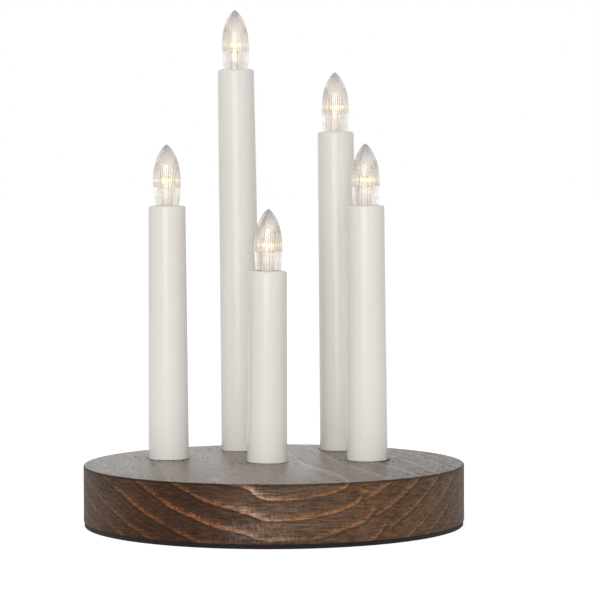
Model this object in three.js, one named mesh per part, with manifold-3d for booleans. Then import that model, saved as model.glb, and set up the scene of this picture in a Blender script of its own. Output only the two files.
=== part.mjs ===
// An advent candle holder: a round wood base that carries five plastic candles with clear LED bulbs.
// The underside holds a battery box for three AA cells, with a timer board and a slide switch.
// Millimetres, +Z up. The origin is the centre of the underside, on the tabletop, and -Y is the front.
import * as THREE from "three";
import { mergeVertices } from "three/addons/utils/BufferGeometryUtils.js";
import Module from "manifold-3d";

// Clearances
const gap = 0.3; // between pieces that touch or slide
const padClearance = 0.5; // round the battery box, in the pad's window

// Wood base and pad
const baseDiameter = 175;
const woodHeight = 26;
const woodEdge = 0.6; // eased edge, top and bottom
const padThickness = 2;
const padInset = 0.4; // from the wood's edge to the pad's
const baseSides = 72;

// Tube heights, and where the candles stand
const shortTube = 88.5;
const sideTube = 118.5;
const tallTube = 153.5;
const tallestTube = 183.5;
const backRowInset = 26.5; // from the wood's back edge to the middle of the two back candles
const backRow = baseDiameter / 2 - backRowInset;
const leftPlace = [-49.3, 21.5];
const backLeftPlace = [-15.4, backRow];
const frontPlace = [-3.1, 4.2];
const backRightPlace = [32.1, backRow];
const rightPlace = [43.5, 11.6];

// The candles from left to right, with the degrees that each one's top leans to the right
const candles = [
  { place: leftPlace, tubeHeight: sideTube, lean: -0.1 },
  { place: backLeftPlace, tubeHeight: tallestTube, lean: -0.71 },
  { place: frontPlace, tubeHeight: shortTube, lean: 0.48 },
  { place: backRightPlace, tubeHeight: tallTube, lean: -0.68 },
  { place: rightPlace, tubeHeight: sideTube, lean: -0.26 },
];

// Candle tube: a moulded shell, open below, with a draft that makes its foot the wider end
const tubeTopRadius = 8.7;
const tubeDraft = 0.4; // degrees a side
const tubeWall = 1.2;
const tubeTopWall = 2;
const tubeTopRound = 1.2;
const tubeFootRound = 0.8;
const tubeSides = 20;

// Foot plug: holds the tube on the wood
const plugHeight = 10; // inside the tube
const spigotRadius = 7;
const spigotLength = 7; // inside the wood
const plugBore = 3; // radius, for the lead
const plugSides = 12;

// Bulb: a clear hollow cover with flutes inside
const bulbHeight = 28.5; // above the tube
const bulbBulge = 0.65; // from the neck's radius to the belly's
const bulbBellyHeight = 9.5;
const bulbSpigotLength = 4; // below the tube's top wall
const bulbWall = 1;
const bulbTipWall = 1.4;
const bulbTipPower = 2.6; // the upper outline is belly * (1 - s ** power) ** fullness
const bulbTipFullness = 0.82;
const bulbNeckPower = 1.4; // how the outline narrows from the belly to the neck
const bulbFlutes = 10;
const bulbFluteDepth = 0.35;
const bulbRings = 6; // in the outline above the belly

// LED and its holder
const ledRadius = 2.5;
const ledFlangeRadius = 2.9;
const ledFlangeHeight = 1;
const ledHeight = 5.4;
const ledStandHeight = 8; // the holder's post above the tube
const ledPostRadius = 2.9;
const holderRimWall = 1; // round the bulb's spigot
const holderDisc = 3;
const holderBarrelRadius = 4;
const holderBarrelLength = 6;
const holderLeadDepth = 4; // how far the lead goes into the barrel
const holderSides = 10;

// Leads: from each holder down the tube, through the wood and along a channel to the board
const leadRadius = 1.1;
const leadSides = 8;
const leadBend = 4;
const leadTurnIn = 3; // bend where a lead leaves its channel
const leadRise = 2; // bend up to the board
const leadEndInset = 2.2; // from the bay's back wall to where the lead rises
const channelWidth = 4.5;
const channelHeight = 8;
const leadHeight = 7.5; // of a lead's middle in its channel
const outerEntry = 22; // where the leads of the left and right candles enter the board's bay
const innerEntry = 12; // and those of the two back candles
const leadEntries = [-outerEntry, -innerEntry, frontPlace[0], innerEntry, outerEntry];
const bendSteps = 3;
const straightAngle = 0.01; // a bend under this many radians is left as a corner

// AA cells
const cellDiameter = 14.2;
const cellLength = 50.5;
const cellButtonRadius = 2.7;
const cellButtonHeight = 1;
const cellCount = 3;
const cellSpacing = 0.8; // between two cells
const cellUnderRoom = 0.4; // between the cells and the ribs of the cover
const cellSides = 20;

// Battery box, let into the underside
const boxWall = 1.5;
const boxCeiling = 1.5;
const boxFrontInset = 17.85; // from the wood's front edge to the box's front wall
const flangeEndMargin = 8; // flange beyond the box's left and right walls
const flangeSideMargin = 1.2; // flange beyond the box's front and back walls
const flangeThickness = 3;
const flangeCorner = 4;
const boardBayWidth = 11.5;
const cellSideRoom = 0.3; // beside the outer cells

// Contacts
const contactThickness = 0.5;
const contactWidth = 10;
const springLength = 4;
const springWire = 0.7;
const springWideRadius = 4.2;
const springNarrowRadius = 2.1;
const springCurls = 3;
const springStepsPerCurl = 8;
const springSides = 5;

// Battery cover
const coverThickness = 1.5;
const coverLap = 1; // over the edge of the cell bay
const coverPegLength = 8;
const coverPegWidth = 1.2;
const coverPegHeight = 2.5;
const coverPegSpread = 17;
const coverRibWidth = 1.2;
const coverRibHeight = 0.4;
const coverRibSpread = 12;
const coverCorner = 2;
const thumbRadius = 9;
const thumbDepth = 0.8; // of the hollow that a thumb pulls the cover by
const thumbInset = 6; // from the cover's front edge to the middle of the thumb hollow
const thumbLength = 8;
const thumbSides = 24;

// Switch
const switchLength = 12;
const switchWidth = 5.6;
const switchHeight = 4.7;
const switchInset = 4.4; // from the bay's front wall to the switch's middle
const knobLength = 3.6;
const knobWidth = 3;
const knobTravel = 2; // each way
const knobRoot = 1.2; // inside the switch
const knobRecess = 1.4; // the hollow in the flange round the knob
const knobRecessLength = 13;
const knobRecessWidth = 6.4;
const knobSetBack = 0.4; // from the flange's face to the knob's tip
const knobGrooves = 3;
const knobGrooveDepth = 0.4;
const knobGrooveWidth = 0.4;

// Timer board
const boardEndRoom = 2.5;
const boardSideRoom = 0.45;
const boardThickness = 1.6;
const postSize = 4;
const postInset = 3; // from the board's end to the middle of a post
const chipSize = [6, 5, 1.7];
const chipX = -6;
const capacitorRadius = 2.5;
const capacitorHeight = 5.5;
const capacitorX = 8;
const resistorLength = 4;
const resistorRadius = 0.9;
const resistorPlaces = [-16, 16];
const resistorLift = 0.25; // above the board

// Battery leads
const cellLeadRadius = 0.65;
const cellLeadTail = 0.2; // straight start above the contact
const cellLeadRise = 1.1; // bend above that
const cellLeadBend = 1.5;
const cellLeadInset = 3; // from the board's end to where the lead comes down

// Screws that hold the battery box
const screwRadius = 1.5;
const screwHeadRadius = 2.7;
const screwHeadHeight = 1.5;
const screwLength = 12;
const screwSetBack = 0.1;
const screwInset = 10; // from the flange's front and back edges
const screwPoint = 2;
const screwRecess = 0.8;
const screwCross = [3.4, 0.8];
const screwSides = 12;

// Levels and places that follow from the sizes above
const baseRadius = baseDiameter / 2;
const woodBottom = padThickness;
const woodTop = woodBottom + woodHeight;
const bulbNeckRadius = tubeTopRadius - tubeWall - holderRimWall - 2 * gap;
const bulbBellyRadius = bulbNeckRadius + bulbBulge;
const cellPitch = cellDiameter + cellSpacing;
const bayLength = cellLength + springLength + 2 * (contactThickness + gap) + 3 * gap;
const cellBayWidth = cellCount * cellPitch + cellSideRoom;
const boxLength = bayLength + 2 * boxWall;
const boxWidth = cellBayWidth + boardBayWidth + 3 * boxWall;
const boxFront = boxFrontInset - baseRadius;
const boxBack = boxFront + boxWidth;
const cellBayFront = boxFront + boxWall;
const cellBayBack = cellBayFront + cellBayWidth;
const boardBayFront = cellBayBack + boxWall;
const boardBayBack = boardBayFront + boardBayWidth;
const coverEnd = bayLength / 2 + coverLap;
const flangeWidth = boxLength + 2 * flangeEndMargin;
const flangeFront = boxFront - flangeSideMargin;
const flangeBack = boxBack + flangeSideMargin;
const flangeTop = woodBottom + flangeThickness;
const coverTop = woodBottom + coverThickness;
const bayCeiling = coverTop + coverRibHeight + cellUnderRoom + cellDiameter + gap;
const boxTop = bayCeiling + boxCeiling;
const ledgeHeight = coverTop + gap;
const cellAxis = bayCeiling - gap - cellDiameter / 2;
const switchY = boardBayFront + switchInset;
const switchBottom = flangeTop + gap;
const boardBottom = switchBottom + switchHeight + gap;
const boardTop = boardBottom + boardThickness;
const boardLength = bayLength - 2 * boardEndRoom;
const boardWidth = boardBayWidth - 2 * boardSideRoom;
const boardY = (boardBayFront + boardBayBack) / 2;
const postSpread = boardLength / 2 - postInset;
const cellLeadX = bayLength / 2 - gap - cellLeadRadius;
const cellLeadHeight = bayCeiling - gap - cellLeadRadius;
const cellLeadEnd = boardLength / 2 - cellLeadInset;
const contactTop = cellLeadHeight - cellLeadRise - cellLeadTail - gap;
const contactBottom = 2 * cellAxis - contactTop;
const screwX = (coverEnd + gap + flangeWidth / 2) / 2;
const boreRadius = spigotRadius + gap;
const boreDepth = spigotLength + 2 * gap;
const lastCell = cellCount - 1;
const cutThrough = 1; // how far a cutter runs past a face
const bite = 0.5; // how far a joined rib or post starts inside what carries it
const mergeDistance = 1e-4;
const quarterTurn = Math.PI / 2;

const finishes = {
  wood: { color: 0x8f8578, roughness: 0.6 },
  felt: { color: 0x29201f, roughness: 0.95 },
  whitePlastic: { color: 0xe2ded8, roughness: 0.45 },
  clearPlastic: { color: 0xf2efe8, roughness: 0.1, transparent: true, opacity: 0.35 },
  led: { color: 0xffe2a0, roughness: 0.3, emissive: 0xffb45a },
  blackPlastic: { color: 0x232323, roughness: 0.5 },
  wire: { color: 0xdcdcd6, roughness: 0.5 },
  metal: { color: 0xb9bcbf, roughness: 0.3, metalness: 0.9 },
  cell: { color: 0x5a6a72, roughness: 0.35, metalness: 0.3 },
  board: { color: 0x2f5a3a, roughness: 0.5 },
  chip: { color: 0x1b1b1c, roughness: 0.45 },
  capacitor: { color: 0x22262c, roughness: 0.4 },
  resistor: { color: 0xb99d74, roughness: 0.6 },
};

const wasm = await Module();
wasm.setup();

function solidFrom(geometry, matrix) {
  const loose = geometry.index ? geometry.toNonIndexed() : geometry;
  const bare = new THREE.BufferGeometry();
  bare.setAttribute("position", loose.getAttribute("position").clone());
  if (matrix) bare.applyMatrix4(matrix);
  const merged = mergeVertices(bare, mergeDistance);
  const mesh = new wasm.Mesh({
    numProp: 3,
    vertProperties: merged.attributes.position.array,
    triVerts: new Uint32Array(merged.index.array),
  });
  return new wasm.Manifold(mesh);
}

function geometryFrom(solid) {
  const mesh = solid.getMesh();
  const step = mesh.numProp;
  const corners = new Float32Array(mesh.numVert * 3);
  for (let i = 0; i < mesh.numVert; i++) {
    corners.set(mesh.vertProperties.subarray(i * step, i * step + 3), i * 3);
  }
  const geometry = new THREE.BufferGeometry();
  geometry.setAttribute("position", new THREE.BufferAttribute(corners, 3));
  geometry.setIndex(new THREE.BufferAttribute(mesh.triVerts, 1));
  return geometry;
}

function cut(geometry, ...cutters) {
  let solid = solidFrom(geometry);
  for (const cutter of cutters) solid = solid.subtract(solidFrom(cutter));
  return geometryFrom(solid);
}

function join(...geometries) {
  const solids = geometries.map((geometry) => solidFrom(geometry));
  return geometryFrom(solids.reduce((all, next) => all.add(next)));
}

// A turned solid about +Z. Its profile is [radius, height] points, which start and end on the axis
// or close on themselves, and run upwards along the outside.
function turned(profile, sides) {
  const points = profile.map(([radius, height]) => new THREE.Vector2(radius, height));
  return new THREE.LatheGeometry(points, sides).rotateX(quarterTurn);
}

function disc(radius, low, high, sides, x = 0, y = 0) {
  const profile = [
    [0, low],
    [radius, low],
    [radius, high],
    [0, high],
  ];
  return turned(profile, sides).translate(x, y, 0);
}

// A quarter round from one direction to another, as profile points
function quarterRound(centreRadius, centreHeight, radius, fromAngle, steps = 3) {
  const points = [];
  for (let i = 0; i <= steps; i++) {
    const angle = fromAngle + (quarterTurn * i) / steps;
    points.push([centreRadius + radius * Math.cos(angle), centreHeight + radius * Math.sin(angle)]);
  }
  return points;
}

function block(xLow, xHigh, yLow, yHigh, zLow, zHigh) {
  const box = new THREE.BoxGeometry(xHigh - xLow, yHigh - yLow, zHigh - zLow);
  return box.translate((xLow + xHigh) / 2, (yLow + yHigh) / 2, (zLow + zHigh) / 2);
}

// An upright plate with rounded corners
function plate(xLow, xHigh, yLow, yHigh, corner, zLow, zHigh) {
  const shape = new THREE.Shape();
  shape.moveTo(xLow + corner, yLow);
  shape.lineTo(xHigh - corner, yLow);
  shape.absarc(xHigh - corner, yLow + corner, corner, -quarterTurn, 0);
  shape.lineTo(xHigh, yHigh - corner);
  shape.absarc(xHigh - corner, yHigh - corner, corner, 0, quarterTurn);
  shape.lineTo(xLow + corner, yHigh);
  shape.absarc(xLow + corner, yHigh - corner, corner, quarterTurn, Math.PI);
  shape.lineTo(xLow, yLow + corner);
  shape.absarc(xLow + corner, yLow + corner, corner, Math.PI, Math.PI + quarterTurn);
  const options = { depth: zHigh - zLow, bevelEnabled: false, curveSegments: 4 };
  return new THREE.ExtrudeGeometry(shape, options).translate(0, 0, zLow);
}

// A slot with round ends between two points, as a routing cutter leaves it
function slot(from, to, width, zLow, zHigh) {
  const length = Math.hypot(to[0] - from[0], to[1] - from[1]);
  const radius = width / 2;
  const shape = new THREE.Shape();
  shape.moveTo(0, -radius);
  shape.lineTo(length, -radius);
  shape.absarc(length, 0, radius, -quarterTurn, quarterTurn);
  shape.lineTo(0, radius);
  shape.absarc(0, 0, radius, quarterTurn, 3 * quarterTurn);
  const options = { depth: zHigh - zLow, bevelEnabled: false, curveSegments: 6 };
  const turn = Math.atan2(to[1] - from[1], to[0] - from[0]);
  return new THREE.ExtrudeGeometry(shape, options).rotateZ(turn).translate(from[0], from[1], zLow);
}

// A route that is sampled at its own points
class Route extends THREE.Curve {
  constructor(points) {
    super();
    this.points = points;
  }
  getPointAt(share) {
    return this.points[Math.round(share * (this.points.length - 1))].clone();
  }
  getTangentAt(share) {
    const index = Math.round(share * (this.points.length - 1));
    const before = this.points[Math.max(index - 1, 0)];
    const after = this.points[Math.min(index + 1, this.points.length - 1)];
    return after.clone().sub(before).normalize();
  }
}

function tubeAlong(points, radius, sides) {
  const section = new THREE.Shape();
  for (let i = 0; i < sides; i++) {
    const angle = (2 * Math.PI * i) / sides;
    const x = radius * Math.cos(angle);
    const y = radius * Math.sin(angle);
    if (i === 0) section.moveTo(x, y);
    else section.lineTo(x, y);
  }
  const options = { steps: points.length - 1, bevelEnabled: false, extrudePath: new Route(points) };
  return new THREE.ExtrudeGeometry(section, options);
}

// Straight runs between corners, with each corner rounded to its own bend radius
function rounded(corners, bends) {
  const points = [corners[0]];
  for (let i = 1; i < corners.length - 1; i++) {
    const corner = corners[i];
    const back = corners[i - 1].clone().sub(corner).normalize();
    const on = corners[i + 1].clone().sub(corner).normalize();
    const halfAngle = back.angleTo(on) / 2;
    const reach = bends[i - 1] / Math.tan(halfAngle);
    const middle = back.clone().add(on).normalize();
    const centre = corner.clone().addScaledVector(middle, bends[i - 1] / Math.sin(halfAngle));
    const start = corner.clone().addScaledVector(back, reach).sub(centre);
    const end = corner.clone().addScaledVector(on, reach).sub(centre);
    const sweep = start.angleTo(end);
    if (sweep < straightAngle) {
      points.push(corner);
      continue;
    }
    for (let k = 0; k <= bendSteps; k++) {
      const share = k / bendSteps;
      const point = start.clone().multiplyScalar(Math.sin((1 - share) * sweep) / Math.sin(sweep));
      point.addScaledVector(end, Math.sin(share * sweep) / Math.sin(sweep));
      points.push(point.add(centre));
    }
  }
  points.push(corners[corners.length - 1]);
  return points;
}

const holder = new THREE.Group();

function add(name, finish, geometry, parent = holder) {
  const mesh = new THREE.Mesh(geometry, new THREE.MeshStandardMaterial(finishes[finish]));
  mesh.name = name;
  parent.add(mesh);
  return mesh;
}

// A candle's own frame: at its foot on the wood, leaning with it
function candleFrame(candle) {
  const group = new THREE.Group();
  const [x, y] = candle.place;
  group.position.set(x, y, woodTop);
  group.rotation.y = THREE.MathUtils.degToRad(candle.lean);
  group.updateMatrix();
  return group;
}

function entryPlace(index) {
  return [leadEntries[index], boxBack + gap];
}

// Where a candle's lead turns from the tube into its channel
function leadTurn(candle) {
  const below = new THREE.Vector3(0, 0, leadHeight - woodTop);
  return below.applyMatrix4(candleFrame(candle).matrix);
}

function woodBase() {
  const profile = [
    [0, woodBottom],
    ...quarterRound(baseRadius - woodEdge, woodBottom + woodEdge, woodEdge, -quarterTurn, 2),
    ...quarterRound(baseRadius - woodEdge, woodTop - woodEdge, woodEdge, 0, 2),
    [0, woodTop],
  ];
  const cutters = [
    plate(
      -flangeWidth / 2 - gap,
      flangeWidth / 2 + gap,
      flangeFront - gap,
      flangeBack + gap,
      flangeCorner + gap,
      woodBottom - cutThrough,
      flangeTop + gap,
    ),
    block(
      -boxLength / 2 - gap,
      boxLength / 2 + gap,
      boxFront - gap,
      boxBack + gap,
      woodBottom,
      boxTop + gap,
    ),
  ];
  candles.forEach((candle, index) => {
    const frame = candleFrame(candle).matrix;
    const bore = disc(boreRadius, -boreDepth, cutThrough, plugSides);
    cutters.push(bore.applyMatrix4(frame));
    const leadHole = disc(plugBore, woodBottom - woodTop, -boreDepth + cutThrough, holderSides);
    cutters.push(leadHole.applyMatrix4(frame));
    const turn = leadTurn(candle);
    const channelTop = woodBottom + channelHeight;
    const channelBottom = woodBottom - cutThrough;
    cutters.push(slot([turn.x, turn.y], entryPlace(index), channelWidth, channelBottom, channelTop));
  });
  for (const [x, y] of screwPlaces()) {
    const holeTop = woodBottom + screwSetBack + screwLength + gap;
    cutters.push(disc(screwRadius + gap, woodBottom, holeTop, screwSides, x, y));
  }
  add("wood_base", "wood", cut(turned(profile, baseSides), ...cutters));
}

function feltPad() {
  const window = plate(
    -flangeWidth / 2 - padClearance,
    flangeWidth / 2 + padClearance,
    flangeFront - padClearance,
    flangeBack + padClearance,
    flangeCorner + padClearance,
    -cutThrough,
    padThickness + cutThrough,
  );
  add("felt_pad", "felt", cut(disc(baseRadius - padInset, 0, padThickness, baseSides), window));
}

function tubeFootRadius(candle) {
  return tubeTopRadius + candle.tubeHeight * Math.tan(THREE.MathUtils.degToRad(tubeDraft));
}

// The inside of a tube at a height above its foot
function tubeInside(candle, height) {
  const footRadius = tubeFootRadius(candle);
  return footRadius - ((footRadius - tubeTopRadius) * height) / candle.tubeHeight - tubeWall;
}

function candleTube(candle, name, frame) {
  const height = candle.tubeHeight;
  const footRadius = tubeFootRadius(candle);
  const profile = [
    [tubeInside(candle, 0), gap],
    ...quarterRound(footRadius - tubeFootRound, gap + tubeFootRound, tubeFootRound, -quarterTurn, 2),
    ...quarterRound(tubeTopRadius - tubeTopRound, height - tubeTopRound, tubeTopRound, 0, 2),
    [bulbNeckRadius + gap, height],
    [bulbNeckRadius + gap, height - tubeTopWall],
    [tubeInside(candle, height), height - tubeTopWall],
    [tubeInside(candle, 0), gap],
  ];
  add(name, "whitePlastic", turned(profile, tubeSides), frame);
}

function candleFoot(candle, name, frame) {
  const bodyRadius = tubeInside(candle, plugHeight) - gap;
  const profile = [
    [plugBore, -spigotLength],
    [spigotRadius, -spigotLength],
    [spigotRadius, gap],
    [bodyRadius, gap],
    [bodyRadius, plugHeight],
    [plugBore, plugHeight],
    [plugBore, -spigotLength],
  ];
  add(name, "whitePlastic", turned(profile, plugSides), frame);
}

// The bulb's outside radius at a height above the tube
function bulbRadius(height) {
  if (height < bulbBellyHeight) {
    const below = (bulbBellyHeight - height) / bulbBellyHeight;
    return bulbBellyRadius - (bulbBellyRadius - bulbNeckRadius) * below ** bulbNeckPower;
  }
  const above = (height - bulbBellyHeight) / (bulbHeight - bulbBellyHeight);
  return bulbBellyRadius * (1 - above ** bulbTipPower) ** bulbTipFullness;
}

function bulbLens(name, frame, height) {
  const spigotBottom = -tubeTopWall - bulbSpigotLength;
  const outside = [
    [0, spigotBottom],
    [bulbNeckRadius, spigotBottom],
    [bulbNeckRadius, 0],
    [bulbRadius(bulbBellyHeight / 2), bulbBellyHeight / 2],
  ];
  const inside = [
    [0, spigotBottom - cutThrough],
    [bulbNeckRadius - bulbWall, spigotBottom - cutThrough],
    [bulbNeckRadius - bulbWall, 0],
    [bulbRadius(bulbBellyHeight / 2) - bulbWall, bulbBellyHeight / 2],
  ];
  const insideTop = bulbHeight - bulbTipWall;
  for (let i = 0; i <= bulbRings; i++) {
    const share = Math.sin((quarterTurn * i) / bulbRings);
    const outer = bulbBellyHeight + share * (bulbHeight - bulbBellyHeight);
    outside.push([i === bulbRings ? 0 : bulbRadius(outer), outer]);
    const inner = bulbBellyHeight + share * (insideTop - bulbBellyHeight);
    const innerShare = 1 - share ** bulbTipPower;
    const innerRadius = (bulbBellyRadius - bulbWall) * innerShare ** bulbTipFullness;
    inside.push([i === bulbRings ? 0 : innerRadius, inner]);
  }
  const sides = 2 * bulbFlutes;
  const shell = turned(outside, sides);
  const cavity = turned(inside, sides);
  const places = cavity.getAttribute("position");
  for (let i = 0; i < places.count; i++) {
    const radius = Math.hypot(places.getX(i), places.getY(i));
    if (radius < bulbFluteDepth) continue;
    const side = Math.round((Math.atan2(places.getY(i), places.getX(i)) * sides) / (2 * Math.PI));
    const scale = side % 2 === 0 ? 1 : (radius - bulbFluteDepth) / radius;
    places.setXY(i, places.getX(i) * scale, places.getY(i) * scale);
  }
  add(name, "clearPlastic", cut(shell, cavity).translate(0, 0, height), frame);
}

// The holder closes the tube below the bulb, with a cup for the bulb's spigot and a post for the LED
function ledHolder(candle, name, frame) {
  const height = candle.tubeHeight;
  const rimTop = height - tubeTopWall - gap;
  const cupFloor = height - tubeTopWall - bulbSpigotLength - gap;
  const discBottom = cupFloor - holderDisc;
  const barrelBottom = discBottom - holderBarrelLength;
  const rimRadius = tubeInside(candle, height) - gap;
  const leadBore = leadRadius + gap;
  const profile = [
    [0, barrelBottom + holderLeadDepth + gap],
    [leadBore, barrelBottom + holderLeadDepth + gap],
    [leadBore, barrelBottom],
    [holderBarrelRadius, barrelBottom],
    [holderBarrelRadius, discBottom],
    [rimRadius, discBottom],
    [rimRadius, rimTop],
    [bulbNeckRadius + gap, rimTop],
    [bulbNeckRadius + gap, cupFloor],
    [ledPostRadius, cupFloor],
    [ledPostRadius, height + ledStandHeight],
    [0, height + ledStandHeight],
  ];
  add(name, "whitePlastic", turned(profile, holderSides), frame);
  return barrelBottom;
}

function led(name, frame, height) {
  const bottom = height + ledStandHeight + gap;
  const domeCentre = bottom + ledHeight - ledRadius;
  const profile = [
    [0, bottom],
    [ledFlangeRadius, bottom],
    [ledFlangeRadius, bottom + ledFlangeHeight],
    [ledRadius, bottom + ledFlangeHeight],
    ...quarterRound(0, domeCentre, ledRadius, 0),
  ];
  profile[profile.length - 1][0] = 0;
  add(name, "led", turned(profile, holderSides), frame);
}

function candleLead(candle, index, name, barrelBottom) {
  const frame = candleFrame(candle).matrix;
  const top = new THREE.Vector3(0, 0, barrelBottom + holderLeadDepth).applyMatrix4(frame);
  const turn = leadTurn(candle);
  const entry = entryPlace(index);
  const endY = boardBayBack - leadEndInset;
  const corners = [
    top,
    turn,
    new THREE.Vector3(entry[0], entry[1] + leadRadius, leadHeight),
    new THREE.Vector3(entry[0], endY, leadHeight),
    new THREE.Vector3(entry[0], endY, boardBottom - gap),
  ];
  add(name, "wire", tubeAlong(rounded(corners, [leadBend, leadTurnIn, leadRise]), leadRadius, leadSides));
}

function candle(candleSizes, index) {
  const number = index + 1;
  const frame = candleFrame(candleSizes);
  holder.add(frame);
  candleTube(candleSizes, "candle_tube_" + number, frame);
  candleFoot(candleSizes, "candle_foot_" + number, frame);
  bulbLens("bulb_lens_" + number, frame, candleSizes.tubeHeight);
  led("led_" + number, frame, candleSizes.tubeHeight);
  const barrelBottom = ledHolder(candleSizes, "led_holder_" + number, frame);
  candleLead(candleSizes, index, "candle_lead_" + number, barrelBottom);
}

function screwPlaces() {
  return [
    [-screwX, flangeFront + screwInset],
    [screwX, flangeFront + screwInset],
    [-screwX, flangeBack - screwInset],
    [screwX, flangeBack - screwInset],
  ];
}

// A square hole for a lead, through a wall that runs left to right
function wallHole(x, height, radius, [yLow, yHigh]) {
  const half = radius + gap;
  return block(x - half, x + half, yLow, yHigh, height - half, height + half);
}

function batteryBox() {
  const flange = plate(
    -flangeWidth / 2,
    flangeWidth / 2,
    flangeFront,
    flangeBack,
    flangeCorner,
    woodBottom,
    flangeTop,
  );
  const well = block(-boxLength / 2, boxLength / 2, boxFront, boxBack, woodBottom, boxTop);
  const cutters = [
    block(-bayLength / 2, bayLength / 2, cellBayFront, cellBayBack, woodBottom - cutThrough, bayCeiling),
    block(-bayLength / 2, bayLength / 2, boardBayFront, boardBayBack, flangeTop, boxTop + cutThrough),
    plate(
      -coverEnd - gap,
      coverEnd + gap,
      cellBayFront - coverLap - gap,
      cellBayBack + coverLap + gap,
      coverCorner + gap,
      woodBottom - cutThrough,
      ledgeHeight,
    ),
    block(
      -knobRecessLength / 2,
      knobRecessLength / 2,
      switchY - knobRecessWidth / 2,
      switchY + knobRecessWidth / 2,
      woodBottom - cutThrough,
      woodBottom + knobRecess,
    ),
    block(
      -knobLength / 2 - knobTravel - gap,
      knobLength / 2 + knobTravel + gap,
      switchY - knobWidth / 2 - gap,
      switchY + knobWidth / 2 + gap,
      woodBottom,
      flangeTop + cutThrough,
    ),
  ];
  const leadWall = [boardBayBack - cutThrough, boxBack + cutThrough];
  for (const x of leadEntries) cutters.push(wallHole(x, leadHeight, leadRadius, leadWall));
  const cellLeadWall = [cellBayBack - cutThrough, boardBayFront + cutThrough];
  for (const x of [-cellLeadX, cellLeadX]) {
    cutters.push(wallHole(x, cellLeadHeight, cellLeadRadius, cellLeadWall));
  }
  for (const [x, y] of screwPlaces()) {
    const seat = woodBottom + screwSetBack + screwHeadHeight + gap;
    cutters.push(disc(screwHeadRadius + gap, woodBottom - cutThrough, seat, screwSides, x, y));
    cutters.push(disc(screwRadius + gap, woodBottom, flangeTop + cutThrough, screwSides, x, y));
  }
  const shell = cut(join(flange, well), ...cutters);
  const posts = [-postSpread, postSpread].map((x) =>
    block(
      x - postSize / 2,
      x + postSize / 2,
      boardBayFront - bite,
      boardBayFront + postSize,
      flangeTop - bite,
      boardBottom,
    ),
  );
  add("battery_box", "blackPlastic", join(shell, ...posts));
}

function batteryCover() {
  const front = cellBayFront - coverLap;
  const back = cellBayBack + coverLap;
  const sheet = plate(-coverEnd, coverEnd, front, back, coverCorner, woodBottom, coverTop);
  const thumbCentre = woodBottom - thumbRadius + thumbDepth;
  const thumb = new THREE.CylinderGeometry(thumbRadius, thumbRadius, thumbLength, thumbSides);
  thumb.rotateZ(quarterTurn).translate(0, front + thumbInset, thumbCentre);
  const pieces = [cut(sheet, thumb)];
  for (const x of [-coverPegSpread, coverPegSpread]) {
    for (const y of [cellBayFront + gap, cellBayBack - gap - coverPegWidth]) {
      pieces.push(
        block(
          x - coverPegLength / 2,
          x + coverPegLength / 2,
          y,
          y + coverPegWidth,
          coverTop - bite,
          coverTop + coverPegHeight,
        ),
      );
    }
  }
  for (const x of [-coverRibSpread, coverRibSpread]) {
    pieces.push(
      block(
        x - coverRibWidth / 2,
        x + coverRibWidth / 2,
        cellBayFront + cellPitch / 2,
        cellBayBack - cellPitch / 2,
        coverTop - bite,
        coverTop + coverRibHeight,
      ),
    );
  }
  add("battery_cover", "blackPlastic", join(...pieces));
}

// The middle of a cell across the box, and which way its button faces
function cellY(index) {
  return cellBayFront + cellSideRoom / 2 + cellPitch * (index + 0.5);
}

function cellFacing(index) {
  return index % 2 === 0 ? 1 : -1;
}

const contactFace = bayLength / 2 - gap - contactThickness; // the inner face of a contact
const buttonTip = contactFace - gap;

function aaCell(index) {
  const radius = cellDiameter / 2;
  const profile = [
    [0, 0],
    [radius, 0],
    [radius, cellLength - cellButtonHeight],
    [cellButtonRadius, cellLength - cellButtonHeight],
    [cellButtonRadius, cellLength],
    [0, cellLength],
  ];
  const mesh = add("aa_cell_" + (index + 1), "cell", turned(profile, cellSides));
  mesh.rotation.y = cellFacing(index) * quarterTurn;
  mesh.position.set(cellFacing(index) * (buttonTip - cellLength), cellY(index), cellAxis);
}

function contact(name, side, firstCell, lastCell) {
  const inner = side * contactFace;
  const outer = side * (contactFace + contactThickness);
  const half = contactWidth / 2;
  add(
    name,
    "metal",
    block(
      Math.min(inner, outer),
      Math.max(inner, outer),
      cellY(firstCell) - half,
      cellY(lastCell) + half,
      contactBottom,
      contactTop,
    ),
  );
}

// A cone spring from the contact to the flat end of its cell
function cellSpring(index) {
  const side = -cellFacing(index);
  const points = [];
  const steps = springCurls * springStepsPerCurl;
  const travel = springLength - springWire;
  for (let i = 0; i <= steps; i++) {
    const share = i / steps;
    const angle = 2 * Math.PI * springCurls * share;
    const radius = springWideRadius + (springNarrowRadius - springWideRadius) * share;
    points.push(
      new THREE.Vector3(
        side * (contactFace - gap - springWire / 2 - travel * share),
        cellY(index) + radius * Math.cos(angle),
        cellAxis + side * radius * Math.sin(angle),
      ),
    );
  }
  add("cell_spring_" + (index + 1), "metal", tubeAlong(points, springWire / 2, springSides));
  return points;
}

// The least distance between two turns of a spring, less its wire
function leastGap(points) {
  let least = Infinity;
  for (let i = 0; i < points.length; i++) {
    for (let k = i + springStepsPerCurl / 2; k < points.length; k++) {
      least = Math.min(least, points[i].distanceTo(points[k]) - springWire);
    }
  }
  return least;
}

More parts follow.
